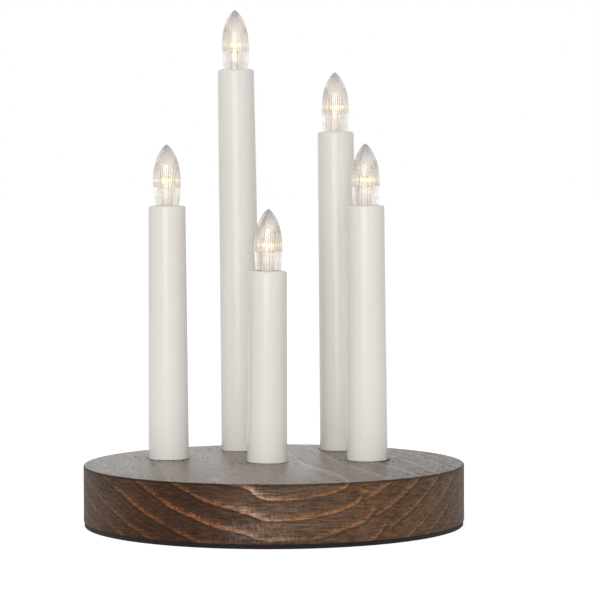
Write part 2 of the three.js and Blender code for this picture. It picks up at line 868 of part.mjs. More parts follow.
function switchParts() {
  const body = block(
    -switchLength / 2,
    switchLength / 2,
    switchY - switchWidth / 2,
    switchY + switchWidth / 2,
    switchBottom,
    switchBottom + switchHeight,
  );
  const track = block(
    -knobLength / 2 - knobTravel - gap,
    knobLength / 2 + knobTravel + gap,
    switchY - knobWidth / 2 - gap,
    switchY + knobWidth / 2 + gap,
    switchBottom - cutThrough,
    switchBottom + knobRoot + gap,
  );
  add("switch_body", "metal", cut(body, track));
  const tip = woodBottom + knobSetBack;
  const knob = block(
    -knobLength / 2,
    knobLength / 2,
    switchY - knobWidth / 2,
    switchY + knobWidth / 2,
    tip,
    switchBottom + knobRoot,
  );
  const grooves = [];
  for (let i = 0; i < knobGrooves; i++) {
    const x = ((i + 1) * knobLength) / (knobGrooves + 1) - knobLength / 2;
    grooves.push(
      block(
        x - knobGrooveWidth / 2,
        x + knobGrooveWidth / 2,
        switchY - knobWidth,
        switchY + knobWidth,
        tip - cutThrough,
        tip + knobGrooveDepth,
      ),
    );
  }
  add("switch_knob", "blackPlastic", cut(knob, ...grooves));
}

function timerBoard() {
  add(
    "timer_board",
    "board",
    block(
      -boardLength / 2,
      boardLength / 2,
      boardY - boardWidth / 2,
      boardY + boardWidth / 2,
      boardBottom,
      boardTop,
    ),
  );
  const [chipLength, chipWidth, chipHeight] = chipSize;
  add(
    "timer_chip",
    "chip",
    block(
      chipX - chipLength / 2,
      chipX + chipLength / 2,
      boardY - chipWidth / 2,
      boardY + chipWidth / 2,
      boardTop,
      boardTop + chipHeight,
    ),
  );
  const can = disc(capacitorRadius, boardTop, boardTop + capacitorHeight, plugSides);
  add("capacitor", "capacitor", can.translate(capacitorX, boardY, 0));
  resistorPlaces.forEach((x, index) => {
    const body = new THREE.CylinderGeometry(resistorRadius, resistorRadius, resistorLength, holderSides);
    body.rotateZ(quarterTurn).translate(x, boardY, boardTop + resistorLift + resistorRadius);
    add("resistor_" + (index + 1), "resistor", body);
  });
}

// From the top of an end contact along the cells, through the wall between the bays, down to the board
function cellLead(name, side, cell) {
  const x = side * cellLeadX;
  const corners = [
    new THREE.Vector3(x, cellY(cell), contactTop + gap),
    new THREE.Vector3(x, cellY(cell), cellLeadHeight),
    new THREE.Vector3(x, boardY, cellLeadHeight),
    new THREE.Vector3(side * cellLeadEnd, boardY, cellLeadHeight),
    new THREE.Vector3(side * cellLeadEnd, boardY, boardTop + gap),
  ];
  const bends = [cellLeadRise, cellLeadBend, cellLeadBend];
  add(name, "wire", tubeAlong(rounded(corners, bends), cellLeadRadius, leadSides));
}

function boxScrew(x, y, name) {
  const low = woodBottom + screwSetBack;
  const head = low + screwHeadHeight;
  const end = low + screwLength;
  const profile = [
    [0, low],
    [screwHeadRadius, low],
    [screwHeadRadius, head],
    [screwRadius, head],
    [screwRadius, end - screwPoint],
    [0, end],
  ];
  const [crossLength, crossWidth] = screwCross;
  const bar = block(
    -crossLength / 2,
    crossLength / 2,
    -crossWidth / 2,
    crossWidth / 2,
    low - cutThrough,
    low + screwRecess,
  );
  const recessed = cut(turned(profile, screwSides), bar, bar.clone().rotateZ(quarterTurn));
  add(name, "metal", recessed.translate(x, y, 0));
}

woodBase();
feltPad();
candles.forEach(candle);
batteryBox();
batteryCover();
switchParts();
timerBoard();
contact("cell_contact_positive", 1, 0, 0);
contact("cell_bridge_left", -1, 0, 1);
contact("cell_bridge_right", 1, 1, 2);
contact("cell_contact_negative", -1, lastCell, lastCell);
let springGap = Infinity;
for (let index = 0; index < cellCount; index++) {
  aaCell(index);
  springGap = Math.min(springGap, leastGap(cellSpring(index)));
}
console.log("least gap between the turns of a cell spring: " + springGap.toFixed(2) + " mm");
cellLead("cell_lead_positive", 1, 0);
cellLead("cell_lead_negative", -1, lastCell);
screwPlaces().forEach(([x, y], index) => boxScrew(x, y, "box_screw_" + (index + 1)));

export default holder;
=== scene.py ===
"""An advent candle holder: a round stained-wood base, five white candles of four heights with clear
LED bulbs, and a battery box let into the underside. Metres, +Z up, -Y towards the camera."""
import math
from contextlib import contextmanager

import bmesh
import bpy
from mathutils import Matrix, Vector


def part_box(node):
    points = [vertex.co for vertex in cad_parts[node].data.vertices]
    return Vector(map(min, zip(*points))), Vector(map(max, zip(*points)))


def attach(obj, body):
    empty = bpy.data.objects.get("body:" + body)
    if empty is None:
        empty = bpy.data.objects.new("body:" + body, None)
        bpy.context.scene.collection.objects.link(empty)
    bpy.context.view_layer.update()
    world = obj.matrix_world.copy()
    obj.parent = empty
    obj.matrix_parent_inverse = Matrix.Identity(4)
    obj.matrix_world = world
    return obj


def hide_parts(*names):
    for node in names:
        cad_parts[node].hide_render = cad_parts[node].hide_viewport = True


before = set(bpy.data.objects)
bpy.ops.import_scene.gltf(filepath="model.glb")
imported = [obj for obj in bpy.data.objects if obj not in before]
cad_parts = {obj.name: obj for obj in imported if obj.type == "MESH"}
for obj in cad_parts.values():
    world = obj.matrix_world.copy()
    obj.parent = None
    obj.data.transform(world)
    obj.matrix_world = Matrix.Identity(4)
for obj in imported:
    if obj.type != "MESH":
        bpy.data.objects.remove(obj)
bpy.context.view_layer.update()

MM = 0.001
CANDLES = range(1, 6)
CELLS = range(1, 4)
SCREWS = range(1, 5)

# Clearances and walls that the CAD pieces keep
GAP = 0.3 * MM
BASE_EDGE = 0.6 * MM
TUBE_WALL = 1.2 * MM
TUBE_TOP_WALL = 2.0 * MM
TUBE_TOP_ROUND = 1.2 * MM
TUBE_FOOT_ROUND = 0.3 * MM
TUBE_FOOT_GAP = 0.05 * MM

# Ribs and flutes that both a mesh and its finish have, counted round
BULB_FLUTES = 40
POST_RIBS = 12

# Corners sharper than these, in degrees, stay sharp when shaded, are eased, or are creased
SHADED_SHARP = 32
EASED_SHARP = 40
CREASED_SHARP = 65


# Places read from the frame

def node_points(name):
    """The corners of a CAD node, each once."""
    seen = {tuple(round(c, 6) for c in vertex.co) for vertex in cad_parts[name].data.vertices}
    return [Vector(point) for point in sorted(seen)]


def middle(points):
    return sum(points, Vector()) / len(points)


def extent(name):
    """A CAD node's low corner, high corner and middle."""
    low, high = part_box(name)
    return low, high, (low + high) / 2


WOOD_LOW, WOOD_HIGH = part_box("wood_base")
BASE_RADIUS = WOOD_HIGH.x
WOOD_TOP = WOOD_HIGH.z
WOOD_BOTTOM = WOOD_LOW.z
BOARD_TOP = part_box("timer_board")[1].z


class Candle:
    """A candle's axis, heights above its foot and radii, from its CAD nodes."""

    def __init__(self, number):
        self.number = number
        tube = node_points(f"candle_tube_{number}")
        half = (min(p.z for p in tube) + max(p.z for p in tube)) / 2
        lower = middle([p for p in tube if p.z < half])
        upper = middle([p for p in tube if p.z > half])
        self.up = (upper - lower).normalized()
        self.foot = lower + self.up * ((WOOD_TOP - lower.z) / self.up.z)
        turn = Vector((0, 0, 1)).rotation_difference(self.up)
        self.matrix = Matrix.Translation(self.foot) @ turn.to_matrix().to_4x4()
        self.height = self.span("candle_tube")[1]
        self.foot_radius = self.radius("candle_tube", 0, 2 * MM)
        self.top_radius = self.radius("candle_tube", self.height - 3 * MM, self.height)
        self.bulb_low, self.bulb_top = self.span("bulb_lens")
        self.neck_radius = self.radius("bulb_lens", self.bulb_low, self.bulb_low + MM)
        self.belly_radius = self.radius("bulb_lens", self.bulb_low, self.bulb_top)
        self.light_low, self.light_top = self.span("led")
        self.holder_low, self.post_top = self.span("led_holder")
        self.plug_low, self.plug_top = self.span("candle_foot")

    def along(self, point):
        return (point - self.foot).dot(self.up)

    def out(self, point):
        return (point - self.foot - self.up * self.along(point)).length

    def span(self, node):
        """The heights at which one of the candle's nodes starts and ends."""
        heights = [self.along(point) for point in node_points(f"{node}_{self.number}")]
        return min(heights), max(heights)

    def radius(self, node, low, high):
        """The radius of one of the candle's nodes between two heights."""
        points = node_points(f"{node}_{self.number}")
        return max(self.out(p) for p in points if low - GAP <= self.along(p) <= high + GAP)

    def piece(self, name, mesh, finish, *nodes):
        """Places a mesh that stands on the origin as a piece of this candle."""
        replaced = [f"{node}_{self.number}" for node in nodes]
        place_piece(f"{name}_{self.number}", moved(mesh, self.matrix), finish, *replaced)


candles = [Candle(number) for number in CANDLES]


# Node trees

def srgb(*levels):
    """A colour's red, green and blue, from 0 to 255, as a shader takes them."""
    shares = [level / 255 for level in levels]
    linear = [s / 12.92 if s <= 0.04045 else ((s + 0.055) / 1.055) ** 2.4 for s in shares]
    return (*linear, 1.0)


def maths(operation):
    """A method that makes a new value of this one and any others, by a maths node."""
    return lambda value, *others: value.finish.math(operation, value, *others)


class Value:
    """A number or a colour in a material, with Python's own arithmetic."""

    def __init__(self, finish, socket):
        self.finish = finish
        self.socket = socket

    __add__ = maths("ADD")
    __sub__ = maths("SUBTRACT")
    __mul__ = maths("MULTIPLY")
    __truediv__ = maths("DIVIDE")
    __abs__ = maths("ABSOLUTE")
    root = maths("SQRT")
    cosine = maths("COSINE")
    fraction = maths("FRACT")
    at_least = maths("MAXIMUM")
    at_most = maths("MINIMUM")

    def __rsub__(self, other):
        return self.finish.math("SUBTRACT", other, self)

    def step(self, low, high):
        """0 below low, 1 above high and smooth between. High may be the lower one."""
        return self.finish.map_range(self, low, high)

    def band(self, low, high, blur):
        """1 between low and high, 0 outside."""
        return self.step(low - blur, low + blur) * self.step(high + blur, high - blur)


class Finish:
    """A material and its slot. Uniform values go straight onto the shader's sockets."""

    def __init__(self, name, slot, **uniform):
        self.slot = slot
        self.material = bpy.data.materials.new(name)
        self.take_tree(self.material)
        self.shader = self.nodes["Principled BSDF"]
        self.set(**uniform)

    def take_tree(self, owner):
        owner.use_nodes = True
        self.nodes = owner.node_tree.nodes
        self.links = owner.node_tree.links

    def feed(self, socket, value):
        """Sets a socket to a value, a number, or a colour's red, green and blue from 0 to 255."""
        if isinstance(value, Value):
            self.links.new(value.socket, socket)
        else:
            socket.default_value = srgb(*value) if isinstance(value, tuple) else value

    def set(self, **sockets):
        for name, value in sockets.items():
            self.feed(self.shader.inputs[name.replace("_", " ")], value)

    def node(self, kind, **settings):
        node = self.nodes.new(f"ShaderNode{kind}")
        for name, value in settings.items():
            setattr(node, name, value)
        return node

    def math(self, operation, *values):
        node = self.node("Math", operation=operation)
        for socket, value in zip(node.inputs, values):
            self.feed(socket, value)
        return Value(self, node.outputs[0])

    def map_range(self, value, low, high):
        node = self.node("MapRange", interpolation_type="SMOOTHSTEP")
        for name, part in (("Value", value), ("From Min", low), ("From Max", high)):
            self.feed(node.inputs[name], part)
        return Value(self, node.outputs["Result"])

    def coordinates(self, kind):
        """The x, y and z of a texture coordinate."""
        parts = self.node("SeparateXYZ")
        self.links.new(self.node("TexCoord").outputs[kind], parts.inputs[0])
        return [Value(self, parts.outputs[axis]) for axis in "XYZ"]

    def place(self):
        """The point in the piece's own frame, in millimetres."""
        return [part * (1 / MM) for part in self.coordinates("Object")]

    def share_of_piece(self):
        """The angle round the piece's middle, in radians, and how far up it a point is, from 0 to 1."""
        x, y, up = self.coordinates("Generated")
        return self.math("ARCTAN2", y - 0.5, x - 0.5), up

    def slant(self):
        """0 where the surface faces the eye, 1 where it turns away."""
        return Value(self, self.node("LayerWeight").outputs["Facing"])

    def noise(self, x, y, z, detail=2.0, roughness=0.5):
        """Noise from 0 to 1, about 0.5, with features one unit across."""
        point = self.node("CombineXYZ")
        for socket, value in zip(point.inputs, (x, y, z)):
            self.feed(socket, value)
        node = self.node("TexNoise")
        self.links.new(point.outputs[0], node.inputs["Vector"])
        for name, value in (("Scale", 1.0), ("Detail", detail), ("Roughness", roughness)):
            node.inputs[name].default_value = value
        return Value(self, node.outputs["Fac"])

    def grain(self, across, up=None, detail=2.0, roughness=0.5):
        """Noise in the piece's own frame, with this many features to a millimetre across and up."""
        x, y, z = self.place()
        return self.noise(x * across, y * across, z * (up or across), detail, roughness)

    def ramp(self, share, stops, interpolation="LINEAR"):
        node = self.node("ValToRGB")
        node.color_ramp.interpolation = interpolation
        elements = node.color_ramp.elements
        while len(elements) < len(stops):
            elements.new(1.0)
        for element, (position, colour) in zip(elements, stops):
            element.position = position
            element.color = srgb(*colour)
        self.feed(node.inputs["Fac"], share)
        return Value(self, node.outputs["Color"])

    def mix(self, share, first, second, blend="MIX"):
        node = self.node("Mix", data_type="RGBA", blend_type=blend)
        for index, value in ((0, share), (6, first), (7, second)):
            self.feed(node.inputs[index], value)
        return Value(self, node.outputs[2])

    def shade(self, colour, factor):
        """A colour made lighter or darker by a factor that varies."""
        grey = self.node("CombineColor")
        for socket in grey.inputs:
            self.feed(socket, factor)
        return self.mix(1.0, colour, Value(self, grey.outputs[0]), "MULTIPLY")

    def bump(self, height, depth):
        """Relief as deep as depth, in millimetres, where height runs from 0 to 1."""
        node = self.node("Bump")
        node.inputs["Distance"].default_value = depth * MM
        self.feed(node.inputs["Height"], height)
        self.links.new(node.outputs["Normal"], self.shader.inputs["Normal"])


# Meshes

def linked(name, data):
    """A new object in the scene."""
    thing = bpy.data.objects.new(name, data)
    bpy.context.scene.collection.objects.link(thing)
    return thing


@contextmanager
def edited(mesh):
    """A mesh's editable form, written back at the end."""
    form = bmesh.new()
    form.from_mesh(mesh)
    yield form
    form.to_mesh(mesh)
    form.free()


def place_piece(name, mesh, finish, *replaced, body="base"):
    """Makes a piece of a mesh, in its material, riding on its body, in place of these CAD nodes."""
    with edited(mesh) as form:
        bmesh.ops.recalc_face_normals(form, faces=form.faces)
    mesh.shade_smooth()
    mesh.set_sharp_from_angle(angle=math.radians(SHADED_SHARP))
    mesh.materials.clear()
    mesh.materials.append(finish.material)
    mesh.name = name
    piece = linked(name, mesh)
    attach(piece, body)
    if replaced:
        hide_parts(*replaced)


def mesh_of(points, faces):
    mesh = bpy.data.meshes.new("mesh")
    mesh.from_pydata([tuple(point) for point in points], [], faces)
    mesh.validate()
    return mesh


def joined(*meshes):
    whole = bpy.data.meshes.new("mesh")
    with edited(whole) as form:
        for mesh in meshes:
            form.from_mesh(mesh)
    return whole


def moved(mesh, matrix):
    mesh.transform(matrix)
    return mesh


def in_mm(*places):
    """Profile points written in millimetres."""
    return [(radius * MM, height * MM) for radius, height in places]


def around_turn(radius, angle, x=0.0, y=0.0):
    """The point at this angle on a circle."""
    return x + radius * math.cos(angle), y + radius * math.sin(angle)


def turned(profile, sides, flutes=0):
    """A shape turned about +Z. A profile point is (radius, height) or, where the surface is fluted,
    (radius, height, flute depth). A closed profile's last point is its first."""
    points = []
    rings = []
    closed = profile[0] == profile[-1]
    for radius, height, *depth in profile[:-1] if closed else profile:
        if radius <= 0:
            rings.append([len(points)] * sides)
            points.append(Vector((0, 0, height)))
            continue
        rings.append(range(len(points), len(points) + sides))
        for side in range(sides):
            angle = 2 * math.pi * side / sides
            ripple = sum(depth) * (1 - math.cos(flutes * angle)) / 2
            points.append(Vector((*around_turn(radius - ripple, angle), height)))
    if closed:
        rings.append(rings[0])
    faces = []
    for lower, upper in zip(rings, rings[1:]):
        for side in range(sides):
            after = (side + 1) % sides
            corners = [lower[side], lower[after], upper[after], upper[side]]
            face = [c for i, c in enumerate(corners) if c not in corners[:i]]
            if len(face) > 2:
                faces.append(face)
    return mesh_of(points, faces)


def disc(radius, low, high, sides=64):
    return turned([(0, low), (radius, low), (radius, high), (0, high)], sides)


def arc_points(x, y, radius, start, turn=90, steps=5):
    """Points round part of a circle, from the angle start, in degrees."""
    return [
        around_turn(radius, math.radians(start + turn * step / steps), x, y) for step in range(steps + 1)
    ]


def capped(rings):
    """A mesh over rings with as many points each, closed by a flat face at both ends."""
    sides = len(rings[0])
    last = (len(rings) - 1) * sides
    faces = [list(range(sides))[::-1], list(range(last, last + sides))]
    for low in range(0, last, sides):
        for side in range(sides):
            after = (side + 1) % sides
            faces.append([low + side, low + after, low + sides + after, low + sides + side])
    return mesh_of([point for ring in rings for point in ring], faces)


def outline_solid(outline, low, high):
    """An upright solid with this outline, which runs anticlockwise."""
    return capped([[(x, y, z) for x, y in outline] for z in (low, high)])


def block(low, high):
    outline = [(low[0], low[1]), (high[0], low[1]), (high[0], high[1]), (low[0], high[1])]
    return outline_solid(outline, low[2], high[2])


def box_outline(room, corner):
    """The battery box's outline with round corners, wider by room on every side."""
    low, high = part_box("battery_box")
    inset = corner - room
    outline = []
    for x, y, start in (
        (high.x - inset, low.y + inset, -90),
        (high.x - inset, high.y - inset, 0),
        (low.x + inset, high.y - inset, 90),
        (low.x + inset, low.y + inset, 180),
    ):
        outline += arc_points(x, y, corner, start, steps=8)
    return outline


def slot_outline(start, end, width):
    """A slot with round ends."""
    first = math.degrees(math.atan2(end.y - start.y, end.x - start.x))
    outline = arc_points(end.x, end.y, width / 2, first - 90, 180, 12)
    return outline + arc_points(start.x, start.y, width / 2, first + 90, 180, 12)


def swept(route, radius, sides=10):
    """A round wire along a route, closed at its ends."""
    rings = []
    last = len(route) - 1
    turns = [around_turn(radius, 2 * math.pi * side / sides) for side in range(sides)]
    normal = (route[1] - route[0]).normalized().orthogonal().normalized()
    for index, place in enumerate(route):
        along = (route[min(index + 1, last)] - route[max(index - 1, 0)]).normalized()
        normal = (normal - along * normal.dot(along)).normalized()
        across = along.cross(normal)
        rings.append([place + normal * right + across * up for right, up in turns])
    return capped(rings)


def modified(mesh, steps, tools=()):
    """The mesh with modifiers applied, each a kind and its settings. Their tools go."""
    target = linked("target", mesh)
    for kind, settings in steps:
        step = target.modifiers.new(kind.lower(), kind)
        for name, value in settings.items():
            setattr(step, name, value)
    bpy.context.view_layer.update()
    shape = target.evaluated_get(bpy.context.evaluated_depsgraph_get())
    result = bpy.data.meshes.new_from_object(shape)
    for thing in (target, *tools):
        bpy.data.objects.remove(thing)
    return result


def cut(mesh, *cutters):
    """The mesh with the cutters taken away."""
    tools = [linked("tool", cutter) for cutter in cutters]
    steps = [("BOOLEAN", dict(object=tool, operation="DIFFERENCE", solver="EXACT")) for tool in tools]
    return modified(mesh, steps, tools)


def cad_copy(name):
    """A CAD node's mesh, copied, with its flat faces whole again."""
    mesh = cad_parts[name].data.copy()
    with edited(mesh) as form:
        bmesh.ops.remove_doubles(form, verts=form.verts, dist=0.005 * MM)
        flat = math.radians(0.5)
        bmesh.ops.dissolve_limit(
            form, angle_limit=flat, verts=form.verts, edges=form.edges, delimit=set()
        )
    return mesh


def eased(mesh, width):
    """A mesh with its sharp edges rounded."""
    angle = math.radians(EASED_SHARP)
    return modified(mesh, [
        ("BEVEL", dict(width=width, segments=2, limit_method="ANGLE", angle_limit=angle)),
    ])


def softened(mesh):
    """A faceted tube made smooth, with its end faces kept flat."""
    with edited(mesh) as form:
        layers = form.edges.layers.float
        crease = layers.get("crease_edge") or layers.new("crease_edge")
        for edge in form.edges:
            closed = len(edge.link_faces) == 2
            sharp = closed and edge.calc_face_angle(0) > math.radians(CREASED_SHARP)
            edge[crease] = 1.0 if sharp else 0.0
    return modified(mesh, [("SUBSURF", dict(levels=2, render_levels=2))])


# Finishes. Lengths are in millimetres, as the finishes take them.

REACH = BASE_RADIUS / MM
TOP = WOOD_TOP / MM

# Growth rings: circles round a pith that lies above the slab and runs front to back
PITH_HEIGHT = 105.0
PITH_X = 4.0
GRAIN_SLOPE = 0.16
GRAIN_FAN = 0.001
GRAIN_LEAN = 0.1
GRAIN_LEAN_UP_TO = 90.0
FIRST_RING = 84.4
RING_SPACING = 8.75
NARROW_FROM = 119.2
NARROW_SPACING = 6.0
WANDER = 3.2
RIPPLE = 0.8
LEFT_SHIFT = 1.9
UPPER_LEFT_SHIFT = 2.3
KINK_X = 45.6
KINK_HEIGHT = 14.0
KINK_SLANT = 0.6
KINK_LIFT = 2.6


def growth_rings(finish, x, y, z):
    """How far each point is through its ring, from 0 to 1, its place across the grain, and how far it
    is to the right of the kink."""
    behind = y + REACH
    front = REACH - (REACH ** 2 - x * x).at_least(0.0).root()
    across = x - PITH_X + behind * (x * GRAIN_FAN + GRAIN_SLOPE)
    leaning = (behind - front).at_most(GRAIN_LEAN_UP_TO) * x.band(-8.0, 52.0, 12.0)
    across = across + leaning * GRAIN_LEAN
    wander = finish.noise(x * 0.045, y * 0.012, z * 0.045) - 0.5
    ripple = finish.noise(x * 0.35, y * 0.02, z * 0.35) - 0.5
    left = (across * -1).step(4.0, 17.0)
    up_left = left * z.step(19.0, 27.0) * (across * -1).step(34.0, 20.0)
    kink_place = x - KINK_X + (z - KINK_HEIGHT) * KINK_SLANT
    kink = kink_place.step(0.5, 0.0) * kink_place.step(-9.0, 0.0) * behind.step(26.0, 16.0)
    depth = PITH_HEIGHT - z + kink * KINK_LIFT
    ring = (across * across + depth * depth).root() + wander * WANDER + ripple * RIPPLE
    ring = ring + left * LEFT_SHIFT + up_left * UPPER_LEFT_SHIFT
    turns = (ring - FIRST_RING) / RING_SPACING
    turns = turns + (ring - NARROW_FROM).at_least(0.0) * (1 / NARROW_SPACING - 1 / RING_SPACING)
    return turns.fraction(), across + wander * 4.0, kink_place


def sawn_side(finish, x, y, z, share, kink_place):
    """The stained end grain round the side: dark, with pale broken lines and short dark streaks."""
    arc = finish.math("ARCTAN2", x, 0 - y) * REACH
    along = arc / (math.pi * REACH) + 0.5
    back = y.step(-12.0, 22.0)

    def around(across, up, seed, detail=2.0):
        """Noise on the side, with this many features to a millimetre across and up."""
        return finish.noise(x * across + seed, y * across, z * up, detail)

    # How the stain's tone changes round the front, from left to right. Near the far left and right edges
    # the stops also hold painted light, set against the shading there.
    ground = finish.ramp(along, [
        (0.015, (124, 102, 86)), (0.06, (90, 71, 57)), (0.172, (80, 64, 50)),
        (0.259, (72, 49, 30)), (0.369, (65, 45, 30)), (0.445, (88, 68, 55)),
        (0.518, (104, 85, 71)), (0.592, (104, 84, 70)), (0.672, (104, 80, 62)),
        (0.767, (101, 79, 61)), (0.966, (95, 77, 63)),
    ])
    ground = finish.mix(back, ground, (92, 71, 56))
    pale = finish.ramp(along, [
        (0.06, (122, 104, 92)), (0.20, (122, 92, 68)), (0.30, (148, 100, 64)),
        (0.42, (158, 112, 80)), (0.47, (196, 164, 142)), (0.53, (160, 118, 84)),
        (0.63, (164, 124, 82)), (0.69, (150, 120, 90)), (0.80, (138, 116, 98)),
        (0.95, (134, 120, 108)),
    ])
    pale = finish.mix(back, pale, (142, 110, 84))

    # Streaks, ticks and specks of the saw and the fibres
    streak = around(0.12, 1.7, 1.0, 3.0).step(0.32, 0.68)
    fine = around(0.22, 1.2, 9.0).step(0.34, 0.66)
    tick = around(1.3, 0.5, 5.0).step(0.34, 0.66)
    patch = around(0.06, 0.12, 11.0).step(0.3, 0.7)
    speck = around(0.8, 1.2, 13.0, 1.0).step(0.39, 0.3)
    middle_part = arc.band(-24.0, 6.0, 8.0)
    outer_part = abs(arc + 5.0).step(45.0, 85.0)

    # Pale lines where the rings end, frayed and broken
    comb = around(1.6, 0.3, 17.0, 1.0) - 0.5
    fray = around(0.5, 0.9, 3.0, 3.0) - 0.5
    start = comb * 0.3 + fray * 0.2 + 0.85
    line = finish.map_range(share, start - 0.12, start + 0.05) * share.step(1.0, 0.97)
    broken = around(1.5, 1.4, 19.0).step(0.34, 0.6) * 0.8 + 0.2
    fade = around(0.07, 0.14, 7.0).step(0.32, 0.6) * 0.5 + 0.5
    inner = (share * 4.0 + fray).fraction()
    inner = inner.step(0.35, 0.95) * inner.step(1.0, 0.96) * broken
    glow = share.step(0.5, 1.0) * share.step(1.0, 0.985) * middle_part
    colour = finish.mix(glow * 0.4, ground, (170, 140, 119))
    colour = finish.mix(inner * (outer_part * 0.35 + 0.1), colour, pale)
    colour = finish.mix(line * broken * fade, colour, pale)

    # Single marks: a beige patch, an ashen one below it, a blotch, and the scar along the kink
    beige = arc.band(-15.0, -3.0, 3.0) * z.band(12.0, 25.0, 2.0) * share.step(0.3, 0.8)
    ashen = arc.band(-20.0, 5.0, 4.0) * z.band(3.0, 11.5, 1.0)
    blotch = arc.band(37.0, 42.0, 1.5) * z.band(19.0, 27.0, 1.5)
    scar = kink_place.band(-1.2, 0.6, 0.8) * z.band(13.5, 25.0, 1.0)
    for mark, tone in (
        (beige * (tick * 0.5 + 0.5) * streak * 0.75, (184, 156, 137)),
        (ashen * tick * 0.4, (134, 122, 114)),
        (blotch * fine * streak * 0.45, (172, 128, 76)),
        (scar * broken * fine * 0.35, (150, 126, 96)),
    ):
        colour = finish.mix(mark, colour, tone)

    tint = finish.mix(around(0.3, 0.5, 23.0).step(0.3, 0.7), (132, 84, 46), (84, 92, 66))
    colour = finish.mix(0.5, colour, tint, "SOFT_LIGHT")
    tone = (streak - 0.5) * 0.5 + (fine - 0.5) * 0.5 + (tick - 0.5) * (middle_part * 0.12 + 0.22)
    tone = tone + (patch - 0.5) * 0.3 + 1.04 - speck * 0.22
    early = share.step(0.2, 0.02)
    rim = z.step(TOP - 1.6, TOP - 0.5)
    colour = finish.shade(colour, tone * (1.0 - early * 0.24) * (1.0 - rim * 0.45))
    relief = streak * 0.4 + tick * 0.3 + line * 0.3 - speck * 0.4
    return colour, relief


def planed_top(finish, x, y, share, grain_x):
    """The planed face: the same rings cut along the grain, with pores and fibres."""
    fibre = finish.noise(grain_x * 1.2, y * 0.03, 2.0, 4.0, 0.65).step(0.25, 0.75)
    broad = finish.noise(grain_x * 0.1, y * 0.012, 4.0, 3.0).step(0.3, 0.7)
    cloud = finish.noise(x * 0.4, y * 0.09, 8.0, 3.0).step(0.3, 0.7)
    grit = finish.noise(x * 0.8, y * 0.08, 21.0).step(0.3, 0.7)
    pore = finish.noise(grain_x * 0.9, y * 0.06, 6.0, 1.0).step(0.4, 0.31)
    fleck = finish.noise(grain_x * 0.8, y * 0.06, 12.0, 1.0).step(0.61, 0.7)
    dash = finish.noise(x * 0.85, y * 0.13, 31.0, 1.0).step(0.43, 0.36)

    # Rough round the candles, with a ragged dark ring of painted shadow where each one stands
    rough = 0.0
    ring = 0.0
    for candle in candles:
        across = x - candle.foot.x / MM
        behind = y - candle.foot.y / MM
        away = (across * across + behind * behind).root() - candle.foot_radius / MM
        rough = away.step(15.0, 2.0).at_least(rough)
        # Painted shadow: a thin, ragged dark ring round each candle's foot, also less glossy.
        ring = away.step(1.6, 0.3).at_least(ring)
    outer = (x * x + y * y).root().step(58.0, 80.0)
    steep = abs(grain_x).step(10.0, 30.0)
    band = share.step(0.62, 1.0) * share.step(1.0, 0.985) * steep
    right = x.step(10.0, 65.0)
    # Painted light across the top: lighter in the middle, darker to the right. It also sets how strongly
    # the top reflects.
    painted_light_across = x.band(-48.0, 32.0, 22.0) * 0.1 + 0.98 - right * 0.3
    colour = finish.mix(broad, (104, 92, 82), (124, 111, 100))
    colour = finish.mix(band * (x.step(-60.0, 20.0) * 0.3 + 0.27), colour, (182, 168, 156))
    tone = (fibre - 0.5) * 0.2 + (cloud - 0.5) * 0.2 + (grit - 0.5) * (rough * 0.5 + 0.16)
    tone = tone + 1.0 - pore * (rough * 0.35 + 0.45) + fleck * (rough * 0.3 + 0.2)
    tone = tone * painted_light_across - ring * (grit * 0.5 + 0.25)
    tone = tone - dash * (rough * 0.55 + outer * 0.3 + 0.08).at_most(0.6)
    colour = finish.shade(colour, tone * (1.0 - share.step(0.2, 0.0) * steep * 0.1))
    relief = fibre * 0.3 + band * 0.2 - pore * 0.5 + grit * rough * 0.3
    polish = painted_light_across * 0.4 + (cloud - 0.5) * 0.1 - ring * (grit * 0.3 + 0.15) - right * 0.16
    polish = polish * (1.0 - pore * 0.6)
    polish = polish * (1.0 - dash * (rough * 1.2 + outer * 0.5 + 0.15).at_most(0.95))
    return colour, relief, polish


def wood_finish():
    finish = Finish("stained_wood", "wood", IOR=1.5)
    x, y, z = finish.place()
    side = (x * x + y * y).root().step(REACH - 0.6, REACH - 0.2)
    share, grain_x, kink_place = growth_rings(finish, x, y, z)
    sawn, sawn_relief = sawn_side(finish, x, y, z, share, kink_place)
    planed, planed_relief, polish = planed_top(finish, x, y, share, grain_x)
    finish.set(
        Base_Color=finish.mix(side, planed, sawn),
        Specular_IOR_Level=(1.0 - side) * polish + side * 0.15,
        Roughness=(planed_relief - 0.2) * 0.1 + side * 0.28 + 0.34,
    )
    finish.bump(side * sawn_relief + (1.0 - side) * planed_relief, 0.12)
    return finish


def felt_finish():
    finish = Finish("felt", "felt", Roughness=0.95, Sheen_Weight=0.08, Sheen_Roughness=0.6, IOR=1.3)
    fuzz = finish.grain(2.5, detail=4.0, roughness=0.7)
    colour = finish.mix(finish.grain(0.12), (26, 20, 20), (36, 28, 27))
    finish.set(Base_Color=finish.shade(colour, fuzz * 0.8 + 0.6))
    finish.bump(fuzz, 0.25)
    return finish


def candle_finish():
    finish = Finish("candle_plastic", "candle_plastic", IOR=1.46, Specular_IOR_Level=0.3)
    cloud = finish.grain(0.05, 0.02)
    flow = finish.grain(0.2, 0.05, 3.0)
    up = finish.coordinates("Generated")[2]
    # The lower part is painted lighter than the upper: painted light that makes up for the shade round
    # the feet.
    upper = finish.mix(cloud, (220, 217, 209), (225, 220, 214))
    lower = finish.mix(cloud, (233, 230, 223), (237, 233, 227))
    finish.set(Base_Color=finish.mix(up.step(0.8, 0.0), upper, lower))
    finish.set(Roughness=(flow - 0.5) * 0.06 + 0.17)
    finish.bump(flow, 0.03)
    return finish


